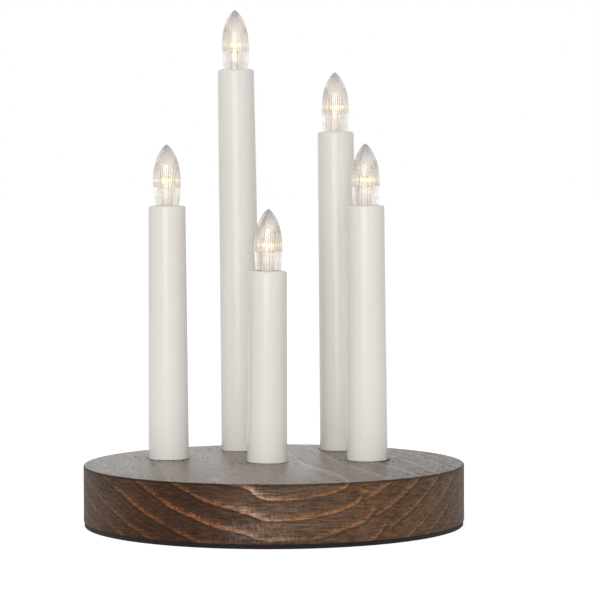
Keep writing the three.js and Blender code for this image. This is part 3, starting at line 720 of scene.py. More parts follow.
def bulb_finish():
    """Clear plastic, a little smoky, lined where it is fluted. Grey at the tip and darker towards its
    outline higher up, where the plastic is thick, with painted shade on top of that. Painted light: a
    near-white, faintly glowing belt below the flutes, a warm band and coloured fringes, and fine upright
    glowing lines on the flutes near the LED, so the cover itself glows."""
    finish = Finish("clear_plastic", "clear_plastic", IOR=1.49, Specular_IOR_Level=0.25)
    angle, up = finish.share_of_piece()
    slant = finish.slant()
    haze = finish.grain(0.9, 0.5, 3.0)
    patch = finish.grain(0.6, 0.15)
    # Painted light: the LED's light split into colours, used for patches near the outline and as a faint
    # wash over the bulb from its belt up.
    painted_colour_fringe = finish.ramp(finish.grain(0.5, detail=1.0), [
        (0.40, (202, 224, 218)), (0.46, (240, 206, 196)), (0.52, (252, 218, 150)),
        (0.60, (222, 214, 234)),
    ])
    comb = (angle * BULB_FLUTES).cosine()
    lines = comb.step(0.1, 0.95) * up.band(0.45, 0.70, 0.05)
    # Painted LED light: a warm band round the LED's height.
    painted_led_warmth = up.band(0.45, 0.58, 0.05)
    # Coloured patches of painted light near the outline, high on the bulb.
    edge = up.band(0.63, 0.77, 0.03) * slant.step(0.15, 0.4)
    # Grey at the tip and darker towards the outline higher up: thicker plastic, with painted shade of
    # dark surroundings on top of that.
    tip = up.step(0.76, 0.98)
    rim = slant.step(0.35, 0.65) * up.step(0.55, 0.75)
    # Painted highlight: a near-white belt below the flutes, towards the outline, with a faint glow.
    painted_bright_belt = up.band(0.30, 0.43, 0.012) * slant.step(0.15, 0.5)
    colour = finish.mix(haze, (241, 237, 233), (247, 244, 241))
    for share, tone in (
        (lines * 0.42, (200, 194, 190)),
        (painted_led_warmth * 0.3, (252, 243, 220)),
        (edge * 0.9, painted_colour_fringe),
        (tip, (219, 216, 214)),
        (up.step(0.3, 0.4) * 0.14, painted_colour_fringe),
        (rim * 0.6, (172, 167, 165)),
        (painted_bright_belt * 0.8, (252, 252, 251)),
    ):
        colour = finish.mix(share, colour, tone)
    # Painted LED light: fine upright glowing lines on the flutes near the LED, in a streak, a lobe and a
    # beam above it; the cover itself glows.
    spark = (comb * -1).step(0.1, 0.9) * patch.step(0.38, 0.58)
    streak = up.band(0.50, 0.53, 0.012) * (1.0 - slant.step(0.12, 0.34))
    painted_led_lobe = up.band(0.44, 0.57, 0.04) * (1.0 - slant.step(0.02, 0.14))
    painted_led_beam = up.band(0.58, 0.74, 0.05) * (1.0 - slant.step(0.01, 0.1))
    finish.set(
        Base_Color=colour,
        Emission_Color=(255, 247, 224),
        Emission_Strength=spark * (streak * 0.55 + painted_led_lobe * 0.42 + painted_led_beam * 0.24) + painted_bright_belt * 0.03,
        Transmission_Weight=0.94 - up.step(0.9, 1.0) * 0.5,
        Roughness=haze * 0.03 + tip * 0.06 + 0.015,
    )
    return finish


def dome_finish():
    finish = Finish("led_dome", "led_light", IOR=1.5, Transmission_Weight=0.9)
    haze = finish.grain(2.0)
    finish.set(Base_Color=finish.mix(haze, (252, 246, 224), (255, 251, 236)))
    finish.set(Roughness=haze * 0.1 + 0.3)
    return finish


def holder_finish():
    """White plastic with painted light from the LED above: it glows, most near its top, and its rib
    grooves carry painted shade.
    """
    finish = Finish("holder_plastic", "candle_plastic", IOR=1.46, Roughness=0.35)
    angle, up = finish.share_of_piece()
    cloud = finish.grain(0.8, 0.3)
    painted_groove_shade = (angle * POST_RIBS).cosine().step(0.2, -0.8) * up.step(0.55, 0.65)
    plastic = finish.mix(cloud, (224, 221, 217), (232, 229, 225))
    # Painted LED light: the post glows, most near its top and less in its grooves, which are painted
    # darker as shade.
    finish.set(
        Base_Color=finish.mix(painted_groove_shade * 0.5, plastic, (168, 164, 160)),
        Emission_Color=finish.mix(cloud, (255, 246, 226), (255, 249, 234)),
        Emission_Strength=up.step(0.75, 1.0) * 0.16 - painted_groove_shade * 0.12 + 0.26,
    )
    return finish


def glow_finish():
    """The lit core of an LED, brightest at its middle."""
    finish = Finish("led_glow", "led_light", Roughness=0.5)
    up = finish.coordinates("Generated")[2]
    grain = finish.grain(2.5)
    centre = up.band(0.25, 0.75, 0.25) * (1.0 - finish.slant().step(0.1, 0.9))
    finish.set(
        Base_Color=finish.mix(grain, (255, 236, 150), (255, 244, 184)),
        Emission_Color=finish.mix(grain, (255, 247, 214), (255, 251, 230)),
        Emission_Strength=(grain * 0.8 + 1.2) * centre + 0.3,
    )
    return finish


def black_finish():
    finish = Finish("black_plastic", "black_plastic", IOR=1.48)
    spark = finish.grain(5.0, detail=3.0, roughness=0.6)
    finish.set(Base_Color=finish.mix(finish.grain(0.08), (33, 33, 34), (42, 42, 43)))
    finish.set(Roughness=spark * 0.2 + 0.42)
    finish.bump(spark, 0.05)
    return finish


def metal_finish(name, dark, pale, roughness):
    finish = Finish(name, "steel", Metallic=1.0)
    x, y, z = finish.place()
    brush = finish.noise(x * 0.8, y * 6.0, z * 6.0, 3.0)
    finish.set(Base_Color=finish.mix(finish.grain(0.3), dark, pale))
    finish.set(Roughness=(brush - 0.5) * 0.2 + roughness)
    finish.bump(brush, 0.01)
    return finish


def plain_plastic_finish(name, dark, pale, roughness, grain):
    finish = Finish(name, name, IOR=1.5)
    speck = finish.grain(grain, detail=3.0)
    finish.set(Base_Color=finish.mix(speck, dark, pale))
    finish.set(Roughness=(speck - 0.5) * 0.2 + roughness)
    finish.bump(speck, 0.03)
    return finish


def cell_finish():
    """A shrink-wrapped cell: two plain bands of colour and bare steel ends."""
    finish = Finish("cell_wrap", "cell", IOR=1.5, Metallic=0.25)
    low, high, centre = (corner / MM for corner in extent("aa_cell_1"))
    half = (high.x - low.x) / 2
    x, y, z = finish.place()
    crease = finish.noise(x * 0.4, y * 1.5, z * 1.5, 3.0)
    band = (x - centre.x).band(-half + 9.0, half - 9.0, 0.15)
    wrap = finish.mix(band, (176, 180, 184), (58, 84, 104))
    finish.set(Base_Color=finish.shade(wrap, crease * 0.2 + 0.9))
    finish.set(Roughness=(crease - 0.5) * 0.2 + 0.3)
    finish.bump(crease, 0.04)
    return finish


def board_finish():
    """Green solder mask over copper tracks."""
    finish = Finish("circuit_board", "circuit_board", Roughness=0.35, IOR=1.5)
    x, y = finish.place()[:2]
    tracks = (abs((y * 0.55).fraction() - 0.5) * 2.0).step(0.72, 0.8)
    tracks = tracks * finish.noise(x * 0.18, y * 0.5, 2.0, 1.0).step(0.46, 0.5)
    colour = finish.mix(tracks, (34, 84, 50), (56, 120, 70))
    finish.set(Base_Color=finish.shade(colour, finish.grain(4.0, 1.0) * 0.2 + 0.9))
    finish.bump(tracks, 0.03)
    return finish


def resistor_finish():
    """A lacquered body with colour bands."""
    finish = Finish("resistor_body", "resistor_body", Roughness=0.4, IOR=1.5)
    low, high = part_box("resistor_1")
    x = finish.place()[0]
    share = ((x - low.x / MM) / ((high.x - low.x) / MM)).fraction()
    tan = (190, 165, 128)
    stops = [(0.0, tan)]
    for start, end, tone in (
        (0.18, 0.28, (150, 78, 40)),
        (0.38, 0.48, (30, 30, 32)),
        (0.58, 0.68, (196, 66, 40)),
        (0.82, 0.92, (176, 142, 66)),
    ):
        stops += [(start, tone), (end, tan)]
    bands = finish.ramp(share, stops, "CONSTANT")
    finish.set(Base_Color=finish.shade(bands, finish.grain(2.0) * 0.3 + 0.85))
    return finish


wood = wood_finish()
felt = felt_finish()
candle_plastic = candle_finish()
clear_plastic = bulb_finish()
led_dome = dome_finish()
led_glow = glow_finish()
holder_plastic = holder_finish()
black_plastic = black_finish()
nickel = metal_finish("nickel", (176, 178, 180), (206, 207, 207), 0.3)
zinc = metal_finish("zinc_steel", (150, 152, 156), (188, 190, 194), 0.36)
cell_wrap = cell_finish()
board_green = board_finish()
chip_black = plain_plastic_finish("chip", (24, 24, 25), (34, 34, 35), 0.5, 6.0)
can_sleeve = plain_plastic_finish("capacitor_can", (26, 30, 38), (36, 41, 50), 0.35, 1.5)
resistor_lacquer = resistor_finish()
lead_rubber = plain_plastic_finish("lead", (214, 213, 208), (226, 225, 220), 0.5, 1.2)


# Base and pad

BORE_RADIUS = 7.3 * MM
BORE_DEPTH = 7.6 * MM
LEAD_HOLE_RADIUS = 3.0 * MM
LEAD_HEIGHT = 7.5 * MM
LEAD_ENTRIES = [-22.0 * MM, -12.0 * MM, candles[2].foot.x, 12.0 * MM, 22.0 * MM]
CHANNEL_WIDTH = 4.5 * MM
CHANNEL_HEIGHT = 8.0 * MM
BOX_WALL = 1.5 * MM
FLANGE_HEIGHT = 3.0 * MM
FLANGE_MARGIN = 1.2 * MM
FLANGE_CORNER = 4.3 * MM
SCREW_HOLE_RADIUS = 1.8 * MM
PAD_ROOM = 0.5 * MM
PAD_CORNER = 4.5 * MM
PAD_EDGE = 0.35 * MM
BASE_SIDES = 288


def base_piece():
    """The turned disc, with the box's pocket, and each candle's bore, lead hole and channel."""
    ring = BASE_RADIUS - BASE_EDGE
    low = WOOD_BOTTOM + BASE_EDGE
    high = WOOD_TOP - BASE_EDGE
    profile = [(0, WOOD_BOTTOM), *arc_points(ring, low, BASE_EDGE, -90)]
    profile += [(BASE_RADIUS, low + (high - low) * step / 8) for step in range(1, 8)]
    profile += [*arc_points(ring, high, BASE_EDGE, 0), (0, WOOD_TOP)]
    box_low, box_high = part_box("battery_box")
    front = box_low.y + FLANGE_MARGIN - GAP
    back = box_high.y - FLANGE_MARGIN + GAP
    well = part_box("cell_contact_positive")[1].x + GAP + BOX_WALL + GAP
    flange = outline_solid(
        box_outline(GAP, FLANGE_CORNER), WOOD_BOTTOM - MM, WOOD_BOTTOM + FLANGE_HEIGHT + GAP
    )
    cutters = [flange, block((-well, front, WOOD_BOTTOM), (well, back, box_high.z + GAP))]
    for candle, entry in zip(candles, LEAD_ENTRIES):
        bore = disc(BORE_RADIUS, -BORE_DEPTH, MM)
        lead_hole = disc(LEAD_HOLE_RADIUS, WOOD_BOTTOM - WOOD_TOP, MM - BORE_DEPTH, 32)
        cutters += [moved(bore, candle.matrix), moved(lead_hole, candle.matrix)]
        turn = candle.foot - candle.up * (WOOD_TOP - LEAD_HEIGHT)
        channel = slot_outline(turn, Vector((entry, back, 0)), CHANNEL_WIDTH)
        cutters.append(outline_solid(channel, WOOD_BOTTOM - MM, WOOD_BOTTOM + CHANNEL_HEIGHT))
    for number in SCREWS:
        high, centre = extent(f"box_screw_{number}")[1:]
        hole = disc(SCREW_HOLE_RADIUS, WOOD_BOTTOM, high.z + GAP, 32)
        cutters.append(moved(hole, Matrix.Translation((centre.x, centre.y, 0))))
    body = cut(turned(profile, BASE_SIDES), *cutters)
    place_piece("turned_base", body, wood, "wood_base")


def pad_piece():
    low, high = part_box("felt_pad")
    ring = high.x - PAD_EDGE
    profile = [(0, low.z), *arc_points(ring, low.z + PAD_EDGE, PAD_EDGE, -90, steps=3)]
    profile += [*arc_points(ring, high.z - PAD_EDGE, PAD_EDGE, 0, steps=3), (0, high.z)]
    window = outline_solid(box_outline(PAD_ROOM, PAD_CORNER), low.z - MM, high.z + MM)
    pad = cut(turned(profile, BASE_SIDES), window)
    place_piece("base_pad", pad, felt, "felt_pad")


# Candles. Their profiles stand on the origin.

TUBE_RIM_EDGE = 0.25 * MM
PLUG_EDGE = 0.5 * MM


def tube_piece(candle):
    height = candle.height
    foot = candle.foot_radius
    top = candle.top_radius
    low = TUBE_FOOT_GAP
    rim = candle.neck_radius + GAP
    profile = [(foot - TUBE_WALL, low)]
    profile += arc_points(foot - TUBE_FOOT_ROUND, low + TUBE_FOOT_ROUND, TUBE_FOOT_ROUND, -90)
    for step in range(1, 6):
        profile.append((foot + (top - foot) * step / 6, low + (height - low) * step / 6))
    profile += arc_points(top - TUBE_TOP_ROUND, height - TUBE_TOP_ROUND, TUBE_TOP_ROUND, 0)
    profile += [(rim + TUBE_RIM_EDGE, height), (rim, height - TUBE_RIM_EDGE)]
    profile += [(rim, height - TUBE_TOP_WALL), (top - TUBE_WALL, height - TUBE_TOP_WALL), profile[0]]
    candle.piece("candle_shell", turned(profile, 128), candle_plastic, "candle_tube")


def foot_piece(candle):
    """A plug in the tube's foot, with a spigot that goes into the wood."""
    low = candle.plug_low
    top = candle.plug_top
    taper = (candle.top_radius - candle.foot_radius) * top / candle.height
    body = candle.foot_radius + taper - TUBE_WALL - GAP
    spigot = BORE_RADIUS - GAP
    profile = [
        (LEAD_HOLE_RADIUS, low), (spigot - PLUG_EDGE, low), (spigot, low + PLUG_EDGE), (spigot, GAP),
        (body, GAP), (body, top - PLUG_EDGE), (body - PLUG_EDGE, top), (LEAD_HOLE_RADIUS, top),
        (LEAD_HOLE_RADIUS, low),
    ]
    candle.piece("candle_plug", turned(profile, 64), candle_plastic, "candle_foot")


# The bulb's outline above its belly is belly * (1 - share ** power) ** fullness
BULB_BELLY_HEIGHT = 9.5 * MM
BULB_WALL = 1.0 * MM
BULB_TIP_WALL = 1.4 * MM
BULB_TIP_POWER = 2.6
BULB_TIP_FULLNESS = 0.82
BULB_NECK_POWER = 1.4
BULB_NECK_EDGE = 0.2 * MM
BULB_FLUTE_DEPTH = 0.2 * MM
BULB_FLUTES_FADE_FROM = 15.0 * MM
BULB_FLUTES_FADE_TO = 21.0 * MM
BULB_FLUTES_FROM = 9.2 * MM
BULB_NECK_RINGS = 8
BULB_RINGS = 24
SIDES_PER_FLUTE = 8


def bulb_piece(candle):
    """A clear cover: smooth outside, and fluted inside from its belly up."""
    base = candle.height
    rise = candle.bulb_top - base
    belly = candle.belly_radius
    neck = candle.neck_radius
    above = rise - BULB_BELLY_HEIGHT
    outside = [(neck - BULB_NECK_EDGE, candle.bulb_low), (neck, candle.bulb_low + BULB_NECK_EDGE)]
    inside = [(neck - BULB_WALL, candle.bulb_low)]
    for step in range(BULB_NECK_RINGS + 1):
        height = BULB_FLUTES_FROM * step / BULB_NECK_RINGS
        reach = belly - (belly - neck) * (1 - height / BULB_BELLY_HEIGHT) ** BULB_NECK_POWER
        outside.append((reach, base + height))
        inside.append((reach - BULB_WALL, base + height))
    for ring in range(BULB_RINGS + 1):
        share = math.sin(math.pi / 2 * ring / BULB_RINGS)
        fall = 0 if ring == BULB_RINGS else (1 - share ** BULB_TIP_POWER) ** BULB_TIP_FULLNESS
        outside.append((belly * fall, base + BULB_BELLY_HEIGHT + share * above))
        height = BULB_BELLY_HEIGHT + share * (above - BULB_TIP_WALL)
        fade = (BULB_FLUTES_FADE_TO - height) / (BULB_FLUTES_FADE_TO - BULB_FLUTES_FADE_FROM)
        depth = BULB_FLUTE_DEPTH * min(max(fade, 0), 1)
        inside.append(((belly - BULB_WALL) * fall, base + height, depth))
    profile = [*outside, *reversed(inside), outside[0]]
    mesh = turned(profile, BULB_FLUTES * SIDES_PER_FLUTE, BULB_FLUTES)
    candle.piece("bulb_cover", mesh, clear_plastic, "bulb_lens")


LED_RADIUS = 2.5 * MM
LED_FLANGE_RADIUS = 2.9 * MM
LED_FLANGE_HEIGHT = 1.0 * MM
LED_EDGE = 0.1 * MM
CORE_RADIUS = 1.0 * MM
CORE_FOOT_RADIUS = 0.7 * MM
CORE_LOW = 2.1 * MM
CORE_HIGH = 4.1 * MM


def light_piece(candle):
    """A clear LED dome with a lit core inside."""
    low = candle.light_low
    high = candle.light_top
    flange = low + LED_FLANGE_HEIGHT
    rim = LED_FLANGE_RADIUS
    dome = [
        (0, low), (rim - LED_EDGE, low), (rim, low + LED_EDGE), (rim, flange - LED_EDGE),
        (rim - LED_EDGE, flange), (LED_RADIUS, flange),
        *arc_points(0, high - LED_RADIUS, LED_RADIUS, 0, steps=10)[:-1], (0, high),
    ]
    candle.piece("light", turned(dome, 48), led_dome, "led")
    foot = low + CORE_LOW
    tip = low + CORE_HIGH
    core = [
        (0, foot), (CORE_FOOT_RADIUS, foot), (CORE_RADIUS, foot + 0.5 * MM),
        *arc_points(0, tip - CORE_RADIUS, CORE_RADIUS, 0, steps=6)[:-1], (0, tip),
    ]
    candle.piece("light_core", turned(core, 32), led_glow)


HOLDER_DISC = 3.0 * MM
HOLDER_BARREL_RADIUS = 4.0 * MM
HOLDER_BARREL_LENGTH = 6.0 * MM
HOLDER_LEAD_DEPTH = 4.0 * MM
HOLDER_LEAD_BORE = 1.4 * MM
POST_RADIUS = 2.9 * MM
POST_RIB_DEPTH = 0.3 * MM
COLLAR_HEIGHT = 6.3 * MM
COLLAR_REACH = 0.35 * MM


def holder_piece(candle):
    """A cup in the tube's top, with a ribbed post in it that carries the LED, and a collar round that."""
    low = candle.holder_low
    bore_top = low + HOLDER_LEAD_DEPTH + GAP
    barrel_top = low + HOLDER_BARREL_LENGTH
    cup_floor = barrel_top + HOLDER_DISC
    rim_top = candle.height - TUBE_TOP_WALL - GAP
    rim = candle.top_radius - TUBE_WALL - GAP
    cup = candle.neck_radius + GAP
    collar = candle.height + COLLAR_HEIGHT
    top = candle.post_top
    profile = [
        (0, bore_top), (HOLDER_LEAD_BORE, bore_top), (HOLDER_LEAD_BORE, low),
        (HOLDER_BARREL_RADIUS, low), (HOLDER_BARREL_RADIUS, barrel_top), (rim, barrel_top),
        (rim, rim_top), (cup, rim_top), (cup, cup_floor), (POST_RADIUS, cup_floor),
        (POST_RADIUS, cup_floor + MM, POST_RIB_DEPTH),
        (POST_RADIUS, collar - COLLAR_REACH, POST_RIB_DEPTH),
        (POST_RADIUS, collar - COLLAR_REACH / 2),
        (POST_RADIUS, collar + COLLAR_REACH / 2),
        (POST_RADIUS, collar + COLLAR_REACH, POST_RIB_DEPTH),
        (POST_RADIUS, top - 0.8 * MM, POST_RIB_DEPTH),
        (POST_RADIUS, top - 0.6 * MM), (POST_RADIUS, top - 0.2 * MM),
        (POST_RADIUS - 0.2 * MM, top), (0, top),
    ]
    mesh = turned(profile, 64, POST_RIBS)
    candle.piece("bulb_holder", mesh, holder_plastic, "led_holder")


# Battery box and what is in it

CELL_BUTTON_RADIUS = 2.7
CELL_BUTTON_HEIGHT = 1.0
CELL_SLEEVE = 0.12
CELL_BARE = 1.3 * MM  # from the cell's side to its bare steel end
SPRING_CURLS = 3
SPRING_STEPS = 28
SPRING_WIDE = 4.2 * MM
SPRING_NARROW = 2.1 * MM
SPRING_WIRE = 0.7 * MM


def lead_piece(name, node):
    place_piece(name, softened(cad_copy(node)), lead_rubber, node)


def eased_piece(name, node, width, finish, body="base"):
    place_piece(name, eased(cad_copy(node), width), finish, node, body=body)


def cell_piece(number):
    """A cell with a sleeve turned over both ends, a button at one and a flat at the other."""
    low, high, centre = extent(f"aa_cell_{number}")
    length = (high.x - low.x) / MM
    radius = (high.z - low.z) / 2 / MM
    shoulder = length - CELL_BUTTON_HEIGHT
    button = CELL_BUTTON_RADIUS
    profile = in_mm(
        (0, 0.25), (radius - 3.0, 0.25), (radius - 2.6, 0), (radius - 1.2, 0), (radius - 0.5, 0.15),
        (radius - CELL_SLEEVE, 0.5), (radius, 0.8), (radius, shoulder - 1.0),
        (radius - CELL_SLEEVE, shoulder - 0.5), (radius - 0.6, shoulder - 0.1),
        (radius - 1.6, shoulder), (radius - 2.0, shoulder - 0.3),
        (button + 0.9, shoulder - 0.3), (button + 0.3, shoulder + 0.1), (button, shoulder + 0.4),
        (button, length - 0.2), (button - 0.2, length), (0, length),
    )
    right_end = [p for p in node_points(f"aa_cell_{number}") if p.x > high.x - 0.1 * MM]
    button_right = max((p - middle(right_end)).length for p in right_end) < radius * MM / 2
    start = Vector((low.x if button_right else high.x, centre.y, centre.z))
    turn = Matrix.Rotation(math.pi / 2 if button_right else -math.pi / 2, 4, "Y")
    mesh = moved(turned(profile, 72), Matrix.Translation(start) @ turn)
    place_piece(f"cell_{number}", mesh, cell_wrap, f"aa_cell_{number}")
    mesh.materials.append(nickel.material)
    for face in mesh.polygons:
        bare = (face.center - centre).yz.length < radius * MM - CELL_BARE
        face.material_index = 1 if bare else 0


def spring_piece(number):
    """A cone spring: wide on its contact, narrow on the flat end of its cell."""
    low, high, centre = extent(f"cell_spring_{number}")
    cell_centre = extent(f"aa_cell_{number}")[2]
    left = centre.x < cell_centre.x
    side = -1 if left else 1
    start = (low.x if left else high.x) - side * SPRING_WIRE / 2
    travel = high.x - low.x - SPRING_WIRE
    route = []
    steps = SPRING_CURLS * SPRING_STEPS
    for step in range(steps + 1):
        share = step / steps
        radius = SPRING_WIDE + (SPRING_NARROW - SPRING_WIDE) * share
        y, up = around_turn(radius, 2 * math.pi * SPRING_CURLS * share)
        x = start - side * travel * share
        route.append(Vector((x, cell_centre.y + y, cell_centre.z + side * up)))
    coil = swept(route, SPRING_WIRE / 2)
    place_piece(f"cone_spring_{number}", coil, nickel, f"cell_spring_{number}")


def screw_piece(number):
    """A pan head with a cross recess, a plain shank and a point."""
    low, high, centre = extent(f"box_screw_{number}")
    radius = (high.x - low.x) / 2 / MM
    length = (high.z - low.z) / MM
    head = 1.5
    shank = 1.5
    profile = in_mm(
        (0, 0), (radius * 0.55, 0.03), (radius * 0.82, 0.18), (radius * 0.96, 0.5), (radius, 0.9),
        (radius, head), (shank, head), (shank, length - 2.0), (0, length),
    )
    arm = 1.7 * MM
    width = 0.4 * MM
    depth = 0.8 * MM
    bars = [
        moved(block((-arm, -width, -MM), (arm, width, depth)), Matrix.Rotation(turn, 4, "Z"))
        for turn in (0, math.pi / 2)
    ]
    mesh = cut(turned(profile, 48), *bars)
    mesh = moved(mesh, Matrix.Translation((centre.x, centre.y, low.z)))
    place_piece(f"screw_{number}", mesh, zinc, f"box_screw_{number}")


def capacitor_piece():
    low, high, centre = extent("capacitor")
    radius = (high.x - low.x) / 2 / MM
    height = (high.z - low.z) / MM
    profile = in_mm(
        (0, 0), (radius - 0.2, 0), (radius, 0.2), (radius, 0.7), (radius - 0.25, 1.0), (radius, 1.3),
        (radius, height - 0.3), (radius - 0.3, height), (radius - 0.5, height),
        (radius - 0.6, height - 0.1), (0, height - 0.1),
    )
    mesh = moved(turned(profile, 48), Matrix.Translation((centre.x, centre.y, low.z)))
    place_piece("capacitor_sleeved", mesh, can_sleeve, "capacitor")


def resistor_piece(number):
    """A body with a cap at each end, and two wires bent down to the board."""
    low, high, centre = extent(f"resistor_{number}")
    length = (high.x - low.x) / MM
    radius = (high.z - low.z) / 2 / MM
    neck = radius * 0.7
    waist = radius * 0.82
    cap = 0.9
    profile = in_mm(
        (0, 0), (neck, 0), (radius, 0.25), (radius, cap - 0.2), (waist, cap),
        (waist, length - cap), (radius, length - cap + 0.2), (radius, length - 0.25),
        (neck, length), (0, length),
    )
    place = Matrix.Translation((low.x, centre.y, centre.z)) @ Matrix.Rotation(math.pi / 2, 4, "Y")
    body = moved(turned(profile, 32), place)
    place_piece(f"resistor_body_{number}", body, resistor_lacquer, f"resistor_{number}")
    for name, side, end in (("left", -1, low.x), ("right", 1, high.x)):
        route = [
            Vector((end + side * out * MM, centre.y, height))
            for out, height in (
                (-0.2, centre.z), (0.6, centre.z), (1.0, centre.z - 0.4 * MM), (1.0, BOARD_TOP),
            )
        ]
        wire = swept(route, 0.25 * MM, 8)
        place_piece(f"resistor_wire_{number}_{name}", wire, nickel)


def chip_legs():
    low, high, centre = extent("timer_chip")
    count = 4
    half_width = 0.22 * MM
    bottom = centre.z - 0.08 * MM
    top = centre.z + 0.08 * MM
    # Each part of a leg: where it starts and ends outside the chip, and its low and high side
    parts = (
        (0, 0.7 * MM, bottom, top),
        (0.6 * MM, 0.8 * MM, BOARD_TOP, top),
        (0.6 * MM, 1.3 * MM, BOARD_TOP, BOARD_TOP + 0.15 * MM),
    )
    meshes = []
    for index in range(count):
        x = low.x + (high.x - low.x) * (index + 0.5) / count
        for side, edge in ((-1, low.y), (1, high.y)):
            for start, end, under, over in parts:
                near, far = sorted((edge + side * start, edge + side * end))
                meshes.append(block((x - half_width, near, under), (x + half_width, far, over)))
    place_piece("chip_legs", joined(*meshes), nickel)


def switch_marks():
    """Raised signs beside the switch: a ring, a bar and a clock face."""
    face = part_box("battery_box")[0].z
    depth = 0.2 * MM
    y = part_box("switch_knob")[1].y + 3.2 * MM
    pitch = 4.5 * MM
    radius = 1.1 * MM
    line = 0.28 * MM

    def ring(x):
        inner = radius - line
        profile = [(inner, 0), (radius, 0), (radius, depth), (inner, depth), (inner, 0)]
        return moved(turned(profile, 40), Matrix.Translation((x, y, face - depth)))

    def bar(low_x, high_x, low_y, high_y):
        return block((low_x, low_y, face - depth), (high_x, high_y, face))

    half = line / 2
    meshes = [
        ring(-pitch),
        bar(-half, half, y - radius, y + radius),
        ring(pitch),
        bar(pitch - half, pitch + half, y, y + radius * 0.75),
        bar(pitch, pitch + radius * 0.6, y - half, y + half),
    ]
    place_piece("switch_marks", joined(*meshes), black_plastic)


base_piece()
pad_piece()
for candle in candles:
    tube_piece(candle)
    foot_piece(candle)
    bulb_piece(candle)
    light_piece(candle)
    holder_piece(candle)
    lead_piece(f"twin_lead_{candle.number}", f"candle_lead_{candle.number}")

eased_piece("box_shell", "battery_box", 0.25 * MM, black_plastic)
eased_piece("box_lid", "battery_cover", 0.25 * MM, black_plastic, "battery_cover")
eased_piece("slider", "switch_knob", 0.12 * MM, black_plastic, "switch_knob")
eased_piece("switch_case", "switch_body", 0.2 * MM, nickel)
for end in ("contact_positive", "contact_negative", "bridge_left", "bridge_right"):
    eased_piece(f"plate_{end}", f"cell_{end}", 0.12 * MM, nickel)
eased_piece("timer_board_cut", "timer_board", 0.1 * MM, board_green)
eased_piece("chip_body", "timer_chip", 0.15 * MM, chip_black)
for number in CELLS:
    cell_piece(number)
    spring_piece(number)
for number in SCREWS:
    screw_piece(number)
capacitor_piece()
resistor_piece(1)
resistor_piece(2)
chip_legs()
switch_marks()
for pole in ("positive", "negative"):
    lead_piece(f"battery_lead_{pole}", f"cell_lead_{pole}")


# Floor, light and camera

AMBIENT = 0.42
AMBIENT_BEHIND = 0.78
BACKDROP = 1.0
ROOM = 0.45
FLOOR_COLOUR = 0.88
FLOOR_LIFT = 0.6
FLOOR_REACH = 30.0

# Each lamp's place, aim, width, height and watts
LAMPS = {
    "key": ((-0.22, -1.35, 0.45), (0, 0, 0.1), 1.0, 0.85, 10.1),
    "fill": ((0.9, -1.1, 0.32), (0, 0, 0.05), 0.7, 0.6, 1.5),
    "strip": ((-0.15, -0.56, 0.18), (0, 0, 0.08), 0.12, 0.35, 0.2),
}

CAMERA_PLACE = (0, -1.2, 0.15529)
CAMERA_YAW = 0.5850  # degrees to the right
CAMERA_PITCH = -2.4931
CAMERA_ROLL = -0.1771
CAMERA_LENS = 156.8
CAMERA_SENSOR = 36.0


class Surroundings(Finish):
    """The node tree of the world or the floor, with the same helpers as a material."""

    def __init__(self, owner):
        self.take_tree(owner)

    def rays(self, *names):
        """1 for rays of these kinds."""
        path = self.node("LightPath")
        total = Value(self, path.outputs[names[0]])
        for name in names[1:]:
            total = total.at_least(Value(self, path.outputs[name]))
        return total


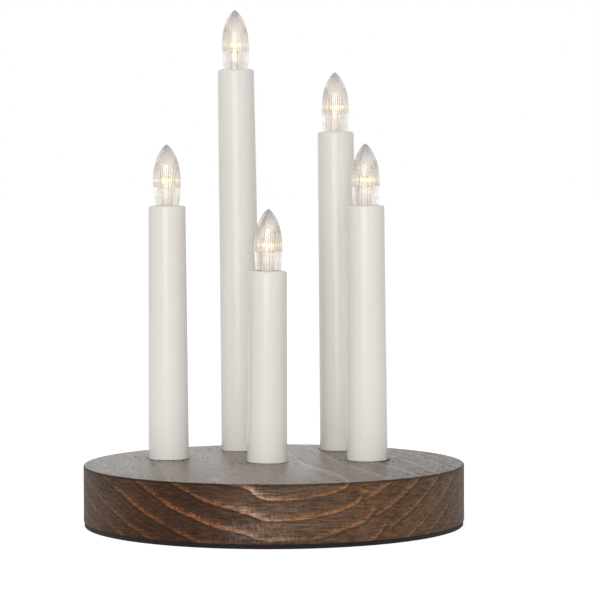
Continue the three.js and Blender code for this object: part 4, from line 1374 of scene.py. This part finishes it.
def backdrop():
    """White behind the object, plain light from all round, stronger where there is no lamp, and a dimmer
    room in front for mirrors."""
    world = bpy.data.worlds.new("studio")
    bpy.context.scene.world = world
    tree = Surroundings(world)
    ahead = tree.coordinates("Generated")[1]
    mirrored = ahead.step(-0.7, 0.3) * (BACKDROP - ROOM) + ROOM
    ambient = ahead.step(-0.6, 0.9) * (AMBIENT_BEHIND - AMBIENT) + AMBIENT
    glossy = tree.rays("Is Glossy Ray")
    clear = tree.rays("Is Camera Ray", "Is Transmission Ray")
    strength = clear * BACKDROP + (1.0 - clear) * (glossy * mirrored + (1.0 - glossy) * ambient)
    background = tree.nodes["Background"]
    background.inputs["Color"].default_value = (1, 1, 1, 1)
    tree.feed(background.inputs["Strength"], strength)


def floor():
    material = bpy.data.materials.new("pale_floor")
    tree = Surroundings(material)
    tree.nodes.remove(tree.nodes["Principled BSDF"])
    matt = tree.node("BsdfDiffuse")
    matt.inputs["Color"].default_value = (FLOOR_COLOUR, FLOOR_COLOUR, FLOOR_COLOUR, 1)
    glow = tree.node("Emission")
    seen = tree.rays("Is Camera Ray", "Is Glossy Ray", "Is Transmission Ray")
    tree.feed(glow.inputs["Strength"], seen * FLOOR_LIFT)
    total = tree.node("AddShader")
    tree.links.new(matt.outputs[0], total.inputs[0])
    tree.links.new(glow.outputs[0], total.inputs[1])
    tree.links.new(total.outputs[0], tree.nodes["Material Output"].inputs["Surface"])
    corners = ((-1, -1), (1, -1), (1, 1), (-1, 1))
    mesh = mesh_of([(x * FLOOR_REACH, y * FLOOR_REACH, 0) for x, y in corners], [[0, 1, 2, 3]])
    mesh.materials.append(material)
    linked("floor", mesh)


def lamp(name, place, aim, width, height, watts):
    light = bpy.data.lights.new(name, "AREA")
    light.shape = "RECTANGLE"
    light.size = width
    light.size_y = height
    light.energy = watts
    thing = linked(name, light)
    thing.visible_camera = False
    thing.location = place
    thing.rotation_euler = (Vector(aim) - Vector(place)).to_track_quat("-Z", "Y").to_euler()


def camera():
    data = bpy.data.cameras.new("camera")
    data.lens = CAMERA_LENS
    data.sensor_width = CAMERA_SENSOR
    data.clip_start = 0.05
    data.clip_end = 100
    view = linked("camera", data)
    yaw = Matrix.Rotation(math.radians(-CAMERA_YAW), 4, "Z")
    pitch = Matrix.Rotation(math.radians(90 + CAMERA_PITCH), 4, "X")
    roll = Matrix.Rotation(math.radians(CAMERA_ROLL), 4, "Z")
    view.matrix_world = Matrix.Translation(CAMERA_PLACE) @ yaw @ pitch @ roll
    bpy.context.scene.camera = view


backdrop()
floor()
for name, settings in LAMPS.items():
    lamp(name, *settings)
camera()
bpy.context.scene.view_settings.view_transform = "Standard"
